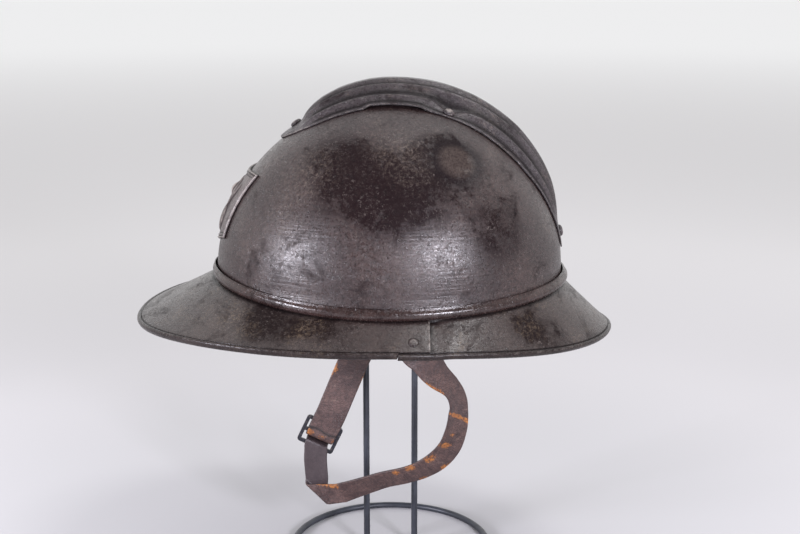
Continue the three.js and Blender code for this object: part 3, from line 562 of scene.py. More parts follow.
class Recipe:
    """A material's node tree under construction."""

    def __init__(self, name: str) -> None:
        """Starts a material with a Principled shader.

        Args:
            name: the material's name.
        """
        self.material = bpy.data.materials.new(name)
        self.material.use_nodes = True
        self.tree = self.material.node_tree
        self.tree.nodes.clear()
        self.shader = self.add("ShaderNodeBsdfPrincipled")
        output = self.add("ShaderNodeOutputMaterial")
        self.tree.links.new(self.shader.outputs["BSDF"], output.inputs["Surface"])
        self.place = self.add("ShaderNodeTexCoord").outputs["Object"]

    def add(self, kind: str, settings: dict | None = None, **sockets: object) -> bpy.types.Node:
        """Adds a node.

        Args:
            kind: the node's type.
            settings: its properties.
            sockets: input values or links, by socket name with underscores, or _n for number n.

        Returns:
            The node.
        """
        node = self.tree.nodes.new(kind)
        for key, value in (settings or {}).items():
            setattr(node, key, value)
        for key, value in sockets.items():
            socket = node.inputs[int(key[1:])] if key[0] == "_" else node.inputs[key.replace("_", " ")]
            if isinstance(value, bpy.types.NodeSocket):
                self.tree.links.new(value, socket)
            else:
                socket.default_value = value
        return node

    def noise(self, size_mm: float, detail: float = 4.0, rough: float = 0.55, place: object = None,
              warp: float = 0.0) -> bpy.types.NodeSocket:
        """Cloudy value between 0 and 1 with features of a real size.

        Args:
            size_mm: width of its features in millimetres.
            detail: how many finer layers it has.
            rough: how strong the finer layers are.
            place: coordinates, or none for the piece's own.
            warp: how far the pattern is stirred.

        Returns:
            The value.
        """
        node = self.add("ShaderNodeTexNoise", Vector=place or self.place, Scale=per_metre(size_mm),
                        Detail=detail, Roughness=rough, Distortion=warp)
        return node.outputs[0]

    def ramp(self, value: bpy.types.NodeSocket, low: float, high: float, top: float = 1.0,
             bottom: float = 0.0) -> bpy.types.NodeSocket:
        """Value remapped smoothly from low..high to bottom..top.

        Args:
            value: the value.
            low: where it starts to change.
            high: where it ends.
            top: result at high.
            bottom: result at low.

        Returns:
            The new value.
        """
        node = self.add("ShaderNodeMapRange", {"interpolation_type": "SMOOTHSTEP"},
                        _0=value, _1=low, _2=high, _3=bottom, _4=top)
        return node.outputs[0]

    def math(self, kind: str, a: object, b: object) -> bpy.types.NodeSocket:
        """Result of a Math node."""
        return self.add("ShaderNodeMath", {"operation": kind}, _0=a, _1=b).outputs[0]

    def blend(self, share: object, a: object, b: object) -> bpy.types.NodeSocket:
        """Colour a changed towards colour b by a share."""
        return self.add("ShaderNodeMix", {"data_type": "RGBA"}, _0=share, _6=a, _7=b).outputs[2]

    def stretched(self, x: float, y: float, z: float) -> bpy.types.NodeSocket:
        """Place with its axes stretched, so that a pattern runs along one of them."""
        return self.add("ShaderNodeMapping", Vector=self.place, Scale=(x, y, z)).outputs[0]

    def mark(self, name: str) -> bpy.types.NodeSocket:
        """Value that the mesh holds per point, such as its wear."""
        return self.add("ShaderNodeAttribute", {"attribute_name": name}).outputs["Fac"]

    def spot(self, x: float, y: float, z: float, inner: float, outer: float) -> bpy.types.NodeSocket:
        """Round mask about a place in millimetres: 1 inside the inner radius, 0 past the outer one.

        Args:
            x: place across the helmet.
            y: place along it.
            z: height.
            inner: radius of the full mark.
            outer: radius where it ends.

        Returns:
            The mask.
        """
        middle = (x * MM, (y + DOME_MIDDLE_Y) * MM, z * MM)
        away = self.add("ShaderNodeVectorMath", {"operation": "DISTANCE"}, _0=self.place, _1=middle)
        return self.ramp(away.outputs["Value"], inner * MM, outer * MM, 0.0, 1.0)

    def relief(self, height: bpy.types.NodeSocket, depth_mm: float) -> bpy.types.NodeSocket:
        """Surface direction bent by a height of so many millimetres."""
        return self.add("ShaderNodeBump", Height=height, Distance=depth_mm * MM, Strength=1.0).outputs[0]

    def finish(self, color: object, roughness: object, normal: object = None,
               **others: object) -> bpy.types.Material:
        """Links or sets the shader's sockets.

        Args:
            color: the base colour.
            roughness: how far the shine is spread.
            normal: the relief's direction, or none.
            others: more sockets, by name with underscores.

        Returns:
            The finished material.
        """
        sockets = {"Base Color": color, "Roughness": roughness, "Normal": normal}
        sockets |= {name.replace("_", " "): value for name, value in others.items()}
        for name, value in sockets.items():
            if isinstance(value, bpy.types.NodeSocket):
                self.tree.links.new(value, self.shader.inputs[name])
            elif value is not None:
                self.shader.inputs[name].default_value = value
        return self.material


# Places on the paint, in millimetres: x, y, z, radius of the full mark, radius where it ends.
DOME_DARK = (
    (60.0, -34.0, 266.0, 8.0, 27.0), (66.0, -14.0, 262.0, 8.0, 27.0), (70.0, 6.0, 254.0, 8.0, 27.0),
    (74.0, 18.0, 242.0, 8.0, 27.0), (58.0, 26.0, 266.0, 8.0, 27.0), (76.0, -2.0, 240.0, 8.0, 27.0),
    (54.0, 38.0, 261.0, 8.0, 27.0), (68.0, 62.0, 226.0, 8.0, 27.0),
    (72.0, -30.0, 246.0, 5.0, 21.0), (80.0, -17.0, 238.0, 2.0, 14.0),
)
DOME_OLIVE = (
    (54.0, -54.0, 250.0, 3.0, 24.0), (62.0, -62.0, 228.0, 3.0, 24.0), (60.0, -44.0, 260.0, 3.0, 24.0),
    (58.0, 2.0, 274.0, 3.0, 24.0), (64.0, 12.0, 264.0, 3.0, 24.0),
)
BRIM_DARK = (
    (79.0, -76.0, 176.0, 5.0, 17.0), (80.0, -67.0, 177.0, 5.0, 17.0), (94.0, -60.0, 171.0, 4.0, 15.0),
    (90.0, -49.0, 174.0, 4.0, 15.0), (90.0, -74.0, 170.0, 4.0, 15.0), (74.0, 78.0, 170.0, 1.0, 16.0),
    (70.0, 92.0, 163.0, 2.0, 22.0), (96.0, -38.0, 173.0, 3.0, 14.0),
)
BRIM_OLIVE = (
    (71.0, -95.0, 174.0, 2.0, 13.0), (73.0, -87.0, 177.0, 2.0, 12.0), (88.0, -81.0, 170.0, 2.0, 12.0),
    (91.0, -44.0, 174.0, 2.0, 14.0), (97.0, -52.0, 170.0, 2.0, 11.0), (73.0, 80.0, 169.0, 1.0, 15.0),
)


@dataclass(frozen=True)
class WornPaint:
    """Old semi-gloss oil paint over pressed sheet steel: the eye sees a thin dark plum-brown skin, grainy
    all over, cloudy grey where hands rubbed it, olive and tan where rust lifts it, bright on its ridges
    where it is worn and where highlight is painted, and near black where shade is painted in creases."""

    name: str
    paint: str
    dark: str
    rubbed: str
    speckle: str
    gloss: float = 0.36
    brushed: float = 0.0
    speckles: float = 0.6
    grain: float = 0.5
    blotch: float = 0.0
    depth: float = 0.19
    darks: tuple[tuple[float, float, float, float, float], ...] = ()
    olives: tuple[tuple[float, float, float, float, float], ...] = ()
    patched: bool = False
    sheen: float = 0.5
    dull: float = 0.06
    pit: str = "#0d090a"
    fleck: str = "#8b817c"
    bare: str = "#8d847e"
    # Near black of dirt and of painted shade in creases, grooves and joints.
    shade_and_dirt: str = "#0c090a"
    halo: str = "#140d10"
    patch_dark: str = "#251c1c"
    patch_light: str = "#4b413c"

    def mottle(self, r: Recipe) -> tuple[bpy.types.NodeSocket, bpy.types.NodeSocket]:
        """Where the paint is dark and lifted, and where olive specks show, each from 0 to 1.

        Args:
            r: the material being made.

        Returns:
            The dark mask and the speck mask.
        """
        dark = r.ramp(r.noise(26.0, 6.0, 0.7, warp=0.6), 0.5 - self.blotch, 0.64 - self.blotch, 0.85)
        olive = r.ramp(r.noise(22.0, 6.0, 0.72, warp=0.4), 0.52 - self.blotch, 0.66 - self.blotch, 0.75)
        for place in self.darks:
            dark = r.math("ADD", dark, r.spot(*place))
        for place in self.olives:
            olive = r.math("ADD", olive, r.math("MULTIPLY", r.spot(*place), 0.7))
        ragged = r.ramp(r.noise(9.0, 8.0, 0.85), 0.38, 0.56, 1.0, 0.35)
        return r.math("MINIMUM", r.math("MULTIPLY", dark, ragged), 1.0), r.math("MINIMUM", olive, 1.0)

    def patch(self, r: Recipe, color: bpy.types.NodeSocket) -> bpy.types.NodeSocket:
        """Round brown patch inside a soft dark halo, where something was once stuck on.

        Args:
            r: the material being made.
            color: the paint's colour so far.

        Returns:
            The colour with the patch.
        """
        middle = (54.0, 38.0, 261.0)
        color = r.blend(r.math("MULTIPLY", r.spot(*middle, 10.0, 23.0), 0.82), color, linear(self.halo))
        speck = r.ramp(r.noise(1.7, 8.0, 0.9), 0.38, 0.62)
        face = r.blend(speck, linear(self.patch_dark), linear(self.patch_light))
        return r.blend(r.math("MULTIPLY", r.spot(*middle, 8.0, 14.0), 0.85), color, face)

    def height(self, r: Recipe, pits: bpy.types.NodeSocket) -> bpy.types.NodeSocket:
        """Grain of the paint, less its pits, with the level lines of brush and spinning where it has them.

        Args:
            r: the material being made.
            pits: where the paint is pitted.

        Returns:
            The height, in shares of the paint's depth.
        """
        # The real grain and lines are finer than these and wouldn't show, so they are drawn coarser.
        height = r.noise(0.85, 5.0, 0.75)
        height = r.math("ADD", height, r.math("MULTIPLY", r.noise(4.6, 4.0, 0.55), 0.12))
        height = r.math("SUBTRACT", height, r.math("MULTIPLY", pits, 0.35))
        if self.brushed > 0.0:
            line = r.noise(1.35, 1.0, 0.5, place=r.stretched(0.06, 0.06, 1.0))
            line = r.math("MULTIPLY", line, r.ramp(r.noise(26.0, 4.0, 0.6), 0.3, 0.52))
            height = r.math("ADD", height, r.math("MULTIPLY", line, self.brushed))
        return height

    def make(self) -> bpy.types.Material:
        """Builds the material.

        Returns:
            The material.
        """
        r = Recipe(self.name)
        worn, grime_and_shade = r.mark("wear"), r.mark("grime_and_shade")
        dark, olive = self.mottle(r)
        cloud = r.ramp(r.noise(40.0, 5.0, 0.6), 0.36, 0.66)
        color = r.blend(cloud, linear(self.paint), linear(self.rubbed))
        fine = r.ramp(r.noise(2.2, 8.0, 0.9), 0.42, 0.58)
        color = r.blend(r.math("MULTIPLY", fine, self.grain), color, linear(self.dark))
        color = r.blend(r.math("MULTIPLY", dark, 0.88), color, linear(self.dark))
        speck = r.ramp(r.noise(2.3, 9.0, 0.94), 0.5, 0.58)
        share = r.math("MULTIPLY", r.math("MULTIPLY", speck, r.math("ADD", olive, 0.08)), self.speckles)
        color = r.blend(share, color, linear(self.speckle))
        pits = r.ramp(r.noise(3.2, 8.0, 0.9), 0.54, 0.62)
        deep = r.math("ADD", r.math("MULTIPLY", dark, 0.6), 0.36 * self.grain)
        color = r.blend(r.math("MULTIPLY", pits, deep), color, linear(self.pit))
        chips = r.ramp(r.noise(2.1, 9.0, 0.96), 0.56, 0.6)
        crowd = r.ramp(r.noise(18.0, 5.0, 0.7), 0.4, 0.6, 0.5, 0.14)
        color = r.blend(r.math("MULTIPLY", chips, crowd), color, linear(self.fleck))
        if self.patched:
            color = self.patch(r, color)
        # Painted highlight: this mark lightens rib tops, rims, edges and rivet heads as well as real wear.
        bare = r.math("ADD", r.noise(2.6, 6.0, 0.85), r.math("MULTIPLY", worn, 0.35))
        bare = r.math("MULTIPLY", worn, r.ramp(bare, 0.62, 0.78))
        color = r.blend(bare, color, linear(self.bare))
        # Painted shade: this mark darkens grooves, creases, joints and the feet of raised parts, with some
        # dirt.
        color = r.blend(r.math("MULTIPLY", grime_and_shade, 0.9), color, linear(self.shade_and_dirt))
        rough = r.math("ADD", self.gloss, r.math("MULTIPLY", dark, 0.12))
        rough = r.math("ADD", rough, r.ramp(r.noise(1.3, 5.0, 0.7), 0.35, 0.65, 0.12, -0.1))
        lost = r.math("MULTIPLY", r.math("MAXIMUM", dark, grime_and_shade), self.sheen - self.dull)
        shine = r.math("SUBTRACT", self.sheen, lost)
        normal = r.relief(self.height(r, pits), self.depth)
        return r.finish(color, rough, normal, Specular_IOR_Level=shine)


@dataclass(frozen=True)
class BlackWire:
    """Thin black stoving paint on drawn wire: smooth, dark grey-blue, with a narrow soft shine."""

    name: str = "painted_wire"
    paint: str = "#2b2d34"
    pale: str = "#373a42"

    def make(self) -> bpy.types.Material:
        """Builds the material.

        Returns:
            The material.
        """
        r = Recipe(self.name)
        cloud = r.noise(14.0, 4.0)
        color = r.blend(r.ramp(cloud, 0.35, 0.7), linear(self.paint), linear(self.pale))
        rough = r.ramp(r.noise(2.5, 3.0), 0.3, 0.7, 0.48, 0.34)
        return r.finish(color, rough, r.relief(r.noise(1.5, 3.0), 0.03), Metallic=0.2)


@dataclass(frozen=True)
class BarkTannedLeather:
    """Old bark-tanned strap leather: a brown grain side with fine cracks and rubbed rust-orange places,
    and a matt grey flesh side. The point values of wear and tone say which place is which, and a third one
    says where the shade of a crease is painted."""

    name: str
    grain: str = "#3d2c2b"
    light: str = "#55403c"
    flesh: str = "#32292c"
    flesh_light: str = "#403638"
    rub: str = "#a96d33"
    rub_dark: str = "#6b3a20"
    dark: str = "#231719"
    scuffed: str = "#7a655c"
    crack: str = "#1c1315"
    # Near black of the painted shade in a crease.
    fold: str = "#0e090a"

    def make(self) -> bpy.types.Material:
        """Builds the material.

        Returns:
            The material.
        """
        r = Recipe(self.name)
        rubbed, side, crease = r.mark("wear"), r.mark("tone"), r.mark("crease")
        fine = r.noise(2.2, 8.0, 0.88)
        cloud = r.noise(9.0, 6.0, 0.7)
        color = r.blend(r.ramp(cloud, 0.38, 0.62), linear(self.grain), linear(self.light))
        color = r.blend(r.ramp(r.noise(4.0, 8.0, 0.85), 0.5, 0.62, 0.5), color, linear(self.dark))
        scuff = r.ramp(r.noise(5.0, 8.0, 0.9, place=r.stretched(1.0, 0.35, 0.9)), 0.57, 0.63, 0.45)
        color = r.blend(scuff, color, linear(self.scuffed))
        back = r.blend(r.ramp(fine, 0.35, 0.65), linear(self.flesh), linear(self.flesh_light))
        color = r.blend(side, color, back)
        torn = r.noise(4.6, 8.0, 0.9, place=r.stretched(1.0, 1.3, 0.8))
        mark = r.ramp(r.math("ADD", torn, r.math("MULTIPLY", rubbed, 0.26)), 0.62, 0.69)
        mark = r.math("MULTIPLY", mark, r.ramp(rubbed, 0.06, 0.5))
        raw = r.blend(r.ramp(fine, 0.38, 0.6), linear(self.rub_dark), linear(self.rub))
        color = r.blend(mark, color, raw)
        # The real cracks lie closer together and wouldn't show, so they are drawn coarser.
        cracks = r.add("ShaderNodeTexVoronoi", {"feature": "DISTANCE_TO_EDGE"}, Scale=per_metre(1.9),
                       Vector=r.stretched(1.0, 0.7, 1.25))
        crack = r.ramp(cracks.outputs[0], 0.0, 0.14)
        plain = r.math("SUBTRACT", 0.5, r.math("MULTIPLY", side, 0.42))
        gone = r.math("MULTIPLY", r.math("SUBTRACT", 1.0, crack), plain)
        color = r.blend(gone, color, linear(self.crack))
        # Painted shade: the crease mark darkens the fold above the buckle's bar.
        color = r.blend(r.math("MULTIPLY", crease, 0.9), color, linear(self.fold))
        scales = r.math("SUBTRACT", 0.8, r.math("MULTIPLY", side, 0.65))
        height = r.math("ADD", r.math("MULTIPLY", crack, scales), fine)
        rough = r.ramp(cloud, 0.3, 0.7, 0.6, 0.38)
        return r.finish(color, rough, r.relief(height, 0.13), Specular_IOR_Level=0.5)


@dataclass(frozen=True)
class BluedSteel:
    """Blued mild steel of small fittings: nearly black, with bright worn places scattered over it."""

    name: str = "blued_steel"
    blue: str = "#34343a"
    bright: str = "#6b6460"

    def make(self) -> bpy.types.Material:
        """Builds the material.

        Returns:
            The material.
        """
        r = Recipe(self.name)
        worn = r.ramp(r.noise(2.0, 5.0, 0.7), 0.52, 0.72)
        color = r.blend(worn, linear(self.blue), linear(self.bright))
        rough = r.ramp(r.noise(1.2, 4.0), 0.3, 0.7, 0.5, 0.3)
        return r.finish(color, rough, r.relief(r.noise(0.8, 3.0), 0.05), Metallic=0.75)


class Finish(Enum):
    """The finishes that the pieces share."""

    DOME = WornPaint(
        "worn_dome_paint", "#2d2121", "#150c0e", "#3d302e", "#635850", gloss=0.31, brushed=1.3, speckles=0.6,
        grain=0.8, blotch=-0.03, depth=0.13, darks=DOME_DARK, olives=DOME_OLIVE, patched=True,
    )
    BRIM = WornPaint(
        "worn_brim_paint", "#2d2322", "#140c0d", "#3a2f2c", "#645648", gloss=0.27, brushed=1.1, speckles=0.7,
        grain=0.6, blotch=0.01, depth=0.1, darks=BRIM_DARK, olives=BRIM_OLIVE, sheen=0.43,
    )
    BAND = WornPaint(
        "worn_band_paint", "#291b19", "#130a0a", "#372826", "#5a453c", gloss=0.2, speckles=0.5, grain=0.6,
        depth=0.08,
    )
    CREST = WornPaint(
        "worn_crest_paint", "#322b2e", "#150e10", "#474043", "#6c5f57", gloss=0.32, speckles=0.6, grain=0.75,
        blotch=0.02,
    )
    BADGE = WornPaint(
        "worn_badge_paint", "#483c3b", "#231a1c", "#665b58", "#8a7e75", gloss=0.38, speckles=0.5, grain=0.7,
        blotch=-0.03,
    )
    WIRE = BlackWire()
    LEATHER = BarkTannedLeather("bark_tanned_leather")
    STEEL = BluedSteel()


MADE: dict[Finish, bpy.types.Material] = {}


def dress(piece: bpy.types.Object, finish: Finish, slot: str, *nodes: str) -> bpy.types.Object:
    """Gives a piece its material and its body, and hides the frame's solids that it stands for.

    Args:
        piece: the finished object.
        finish: its finish.
        slot: not used.
        nodes: the frame's nodes that it replaces.

    Returns:
        The piece.
    """
    if finish not in MADE:
        MADE[finish] = finish.value.make()
    piece.data.materials.clear()
    piece.data.materials.append(MADE[finish])
    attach(piece, "root")
    if nodes:
        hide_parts(*nodes)
    log.info("%s: %d faces", piece.name, len(piece.data.polygons))
    return piece


# Dome and band

@dataclass
class Dome:
    """The pressed bowl with the slot under its crest, and the bead that clasps its foot."""

    around: int = 288
    rows: int = 84
    slot_length: float = 44.0
    slot_width: float = 12.0
    dent: float = 0.22
    front_proud: float = 1.7
    side_proud: float = 2.0
    rear_proud: float = 2.9

    def dents(self, place: np.ndarray) -> np.ndarray:
        """Slight unevenness of hand-set sheet: a sum of four slow waves, in millimetres.

        Args:
            place: points of the dome.

        Returns:
            How far each point stands out.
        """
        x, y, z = place[..., 0] / 91.0, place[..., 1] / 107.0, (place[..., 2] - 190.0) / 103.0
        waves = np.sin(5.1 * x + 2.3 * y + 1.0) * np.sin(4.3 * y - 3.1 * z + 0.4)
        waves += 0.6 * np.sin(8.7 * y + 2.0 * x) * np.sin(7.9 * z + 1.3 * x + 2.0)
        return self.dent * waves

    def shell(self) -> bpy.types.Object:
        """Outer and inner faces on a grid of bearing and rise, joined round the foot.

        Returns:
            The shell, not yet slotted.
        """
        bearing = np.linspace(0, 2 * np.pi, self.around, endpoint=False)[:, None]
        rise = np.linspace(0, np.pi / 2, self.rows)[None, :]
        cap = DOME.face(bearing, np.broadcast_to(rise, (self.around, self.rows)))
        drop = np.linspace(0, 1, 9)[1:][None, :]
        foot = DOME.foot(bearing)
        hem = DOME.wall(bearing + 0 * drop, DOME.widest + (foot - DOME.widest) * drop)
        face = np.concatenate([cap, hem], axis=1)
        slope = np.cross(np.gradient(face, axis=1), np.roll(face, -1, 0) - np.roll(face, 1, 0))
        slope = unit(slope)
        slope[:, 0] = vec(0, 0, 1)
        away = (slope * (face - vec(0, 0, DOME.widest - 30))).sum(-1)
        slope *= np.where(away < 0, -1.0, 1.0)[..., None]
        level = np.clip((face[..., 2] - DOME.widest) / 20.0, 0.0, 1.0) * ease(296 - face[..., 2], 2.6, 12.0)
        face = face + slope * (self.dents(face) * level)[..., None]
        back = face - slope * PLATE
        loop = np.concatenate([face, back[:, ::-1]], axis=1)
        faces = grid_faces(self.around, loop.shape[1], wrap_rows=True)
        return put_mesh("dome_shell", loop.reshape(-1, 3), faces, 50.0)

    def cut_slot(self, shell: bpy.types.Object) -> None:
        """Cuts the long slot that lets warm air out under the crest.

        Args:
            shell: the dome's shell.
        """
        turn = np.linspace(0, np.pi, 17)
        reach = self.slot_length / 2 - self.slot_width / 2
        half = np.stack([np.cos(turn) * self.slot_width / 2, reach + np.sin(turn) * self.slot_width / 2], -1)
        plan = np.concatenate([half, -half])
        top = DOME.widest + DOME.height
        loops = np.stack([np.c_[plan, np.full(len(plan), h)] for h in (top - 9.0, top + 4.0)])
        points, faces = loft(loops, False)
        cutter = put_mesh("slot_cutter", points, faces)
        cut = shell.modifiers.new("slot", "BOOLEAN")
        cut.object = cutter
        cut.operation = "DIFFERENCE"
        cut.solver = "EXACT"
        bpy.context.view_layer.update()
        done = bpy.data.meshes.new_from_object(shell.evaluated_get(bpy.context.evaluated_depsgraph_get()))
        shell.modifiers.clear()
        shell.data = done
        shell.data.name = "dome_shell"
        bpy.data.objects.remove(cutter)

    def band(self) -> bpy.types.Object:
        """Half-round bead with a narrow step along its upper edge, carried round the foot.

        Returns:
            The band.
        """
        turn = np.linspace(-np.pi / 2, np.radians(38), 15)
        bead = np.stack([0.12 + 0.88 * np.cos(turn), -0.5 + 0.42 * (1 + np.sin(turn))], -1)
        bead[0] = (0.0, -0.5)
        lip = np.array([(0.5, 0.3), (0.42, 0.345), (0.44, 0.42), (0.36, 0.49), (0.0, 0.5)])
        section = np.concatenate([bead, lip])
        bearing = np.linspace(0, 2 * np.pi, 360, endpoint=False)
        proud = round_value(bearing, self.front_proud, self.side_proud, self.rear_proud)
        foot = DOME.foot(bearing)
        base = DOME.wall(bearing, foot)
        base[:, 2] = foot + DOME.band_tall / 2
        out = DOME.plan_normal(bearing)
        rings = base[:, None] + out[:, None] * (SEAT * 0.2 + proud[:, None] * section[None, :, 0])[..., None]
        rings[..., 2] += DOME.band_tall * section[None, :, 1]
        return put_mesh("joint_bead", *loft(rings, True), 50.0)

    def build(self) -> None:
        """Makes and dresses the dome and its band."""
        shell = self.shell()
        self.cut_slot(shell)
        dress(shell, Finish.DOME, "dome_paint", "skull")
        dress(self.band(), Finish.BAND, "dome_paint", "joint_band")


# Brim

@dataclass
class Brim:
    """Visor and neck guard: two sheets with rolled edges that lap at the sides."""

    shares: int = 22
    steps: int = 190
    crease_drop: float = 0.34

    def section(self, rolled: float) -> tuple[np.ndarray, np.ndarray, np.ndarray]:
        """Corners of a section: share across the face, then outward and upward distance at the rim.

        Args:
            rolled: 1 where the edge is rolled, 0 where it is bare.

        Returns:
            Shares, outward distances and upward distances.
        """
        tall, deep = BRIM.roll_tall, BRIM.roll_deep
        inner = np.linspace(0, 1, self.shares)[:-1]
        turn = np.radians(np.linspace(150, -165, 22))
        out = -deep / 2 + deep / 2 * np.cos(turn)
        up = -tall * 0.36 + tall * 0.5 * np.sin(turn)
        bare_out = -deep * (1.0 - 0.05 * np.cos(turn))
        bare_up = -PLATE / 2 + PLATE / 2 * np.sin(turn)
        roll_out = rolled * out + (1 - rolled) * bare_out
        roll_up = rolled * up + (1 - rolled) * bare_up
        crease_out = np.array([-deep - 0.55, -deep - 0.12])
        crease_up = np.array([0.0, -self.crease_drop * rolled])
        share = np.concatenate([inner, [1, 1], np.ones(len(turn)), [1], inner[::-1]])
        outs = np.concatenate([0 * inner, crease_out, roll_out, [-deep - 0.3], 0 * inner])
        ups = np.concatenate([0 * inner, crease_up, roll_up, [-PLATE], 0 * inner - PLATE])
        return share, outs, ups

    def sheet(self, name: str, turn_at: Callable[[np.ndarray], np.ndarray], rolled: np.ndarray,
              lapped: bool) -> bpy.types.Object:
        """One piece of the brim.

        Args:
            name: the object's name.
            turn_at: function of shares that gives the bearings of all sections, steps by shares.
            rolled: 1 or 0 for each section.
            lapped: whether the piece runs under the lap.

        Returns:
            The piece.
        """
        share, bare_outs, bare_ups = self.section(0.0)
        share, roll_outs, roll_ups = self.section(1.0)
        outs = np.where(rolled[:, None] > 0.5, roll_outs, bare_outs)
        ups = np.where(rolled[:, None] > 0.5, roll_ups, bare_ups)
        bearing = turn_at(share)
        shares = np.broadcast_to(share, bearing.shape)
        face_length = 44.0
        span = 1.0 - (BRIM.roll_deep + 0.8) / face_length
        flat = np.where(shares < 1, shares * span, 1.0)
        place = BRIM.face(bearing, flat)
        normal = BRIM.normal(bearing, flat)
        outward = unit(place - BRIM.face(bearing, flat - 0.1))
        sunk = np.zeros_like(flat)
        if lapped:
            sunk = (PLATE + SEAT) * (1 - ease(place[..., 1], LAP_REAR + 1.0, LAP_REAR + 1.0 + LAP_EASE))
            sunk = sunk * ease(flat, -0.01, 0.04)
        rings = place + outward * outs[..., None] + normal * (ups - sunk)[..., None]
        corner = np.arange(len(share))
        first_roll, last_roll = self.shares + 1, self.shares + 22
        on_roll = (corner >= first_roll) & (corner <= last_roll)
        # Painted highlight and wear: a light line along the top of the roll.
        roll_top_wear_and_highlight = bump(corner, first_roll + 5.0, 2.6) * rolled[:, None]
        # Painted shade in the crease between the face and the roll.
        crease = bump(corner, self.shares + 0.2, 1.1) * rolled[:, None]
        # Painted shade where the sheet runs under the band.
        under_band_shade = (corner < 2) * 0.8
        upper = corner < self.shares
        end = ease(np.abs(place[..., 1] - LAP_REAR), 0.9, 0.3)
        # Painted highlight and wear along the end of the bare tab.
        tab = 0.7 * (1.0 - rolled[:, None]) * end * (upper | on_roll)
        shade = (ease(place[..., 1], LAP_REAR + 2.6, LAP_REAR + 0.3) * upper) if lapped else 0.0 * flat
        wear = np.maximum(0.4 * roll_top_wear_and_highlight * on_roll, tab) + 0.0 * flat
        # These painted shades go into one dark mark, and the roll is darker all over as well.
        grime_and_shade = np.maximum(np.maximum(np.maximum(crease, under_band_shade + 0.0 * flat), shade), 0.46 * on_roll)
        points, faces = loft(rings, False)
        return put_mesh(name, points, faces, 38.0, marks={"wear": wear, "grime_and_shade": grime_and_shade})

    def visor(self) -> bpy.types.Object:
        """Front piece: a rolled edge as far as the lap, then a bare tab at each side.

        Returns:
            The visor.
        """
        tab = np.linspace(0, 1, 9)
        side = np.linspace(-1, 1, self.steps)

        def turn_at(share: np.ndarray) -> np.ndarray:
            """Bearings of the sections.

            Args:
                share: shares across the face.

            Returns:
                The bearings, sections by shares.
            """
            far = BRIM.bearing_at(LAP_REAR, share)
            near = BRIM.bearing_at(LAP_FRONT + SEAT, share)
            roll = BRIM.bearing_at(LAP_FRONT, share)
            right = -(far + (near - far) * tab[:, None])
            return np.concatenate([right, side[:, None] * roll, -right[::-1]])

        rolled = np.concatenate([0 * tab, np.ones(len(side)), 0 * tab])
        return self.sheet("visor_sheet", turn_at, rolled, False)

    def neck_guard(self) -> bpy.types.Object:
        """Rear piece: starts under the visor's tabs, its roll meets the visor's end to end.

        Returns:
            The neck guard.
        """
        step = np.linspace(0, 1, self.steps)[:, None]

        def turn_at(share: np.ndarray) -> np.ndarray:
            """Bearings of the sections.

            Args:
                share: shares across the face.

            Returns:
                The bearings, sections by shares.
            """
            start = BRIM.bearing_at(LAP_FRONT + 2 * SEAT, share)
            return start + (2 * np.pi - 2 * start) * step

        return self.sheet("neck_guard_sheet", turn_at, np.ones(self.steps), True)

    def build(self) -> None:
        """Makes and dresses both pieces."""
        dress(self.visor(), Finish.BRIM, "brim_paint", "visor")
        dress(self.neck_guard(), Finish.BRIM, "brim_paint", "neck_guard")


# Crest

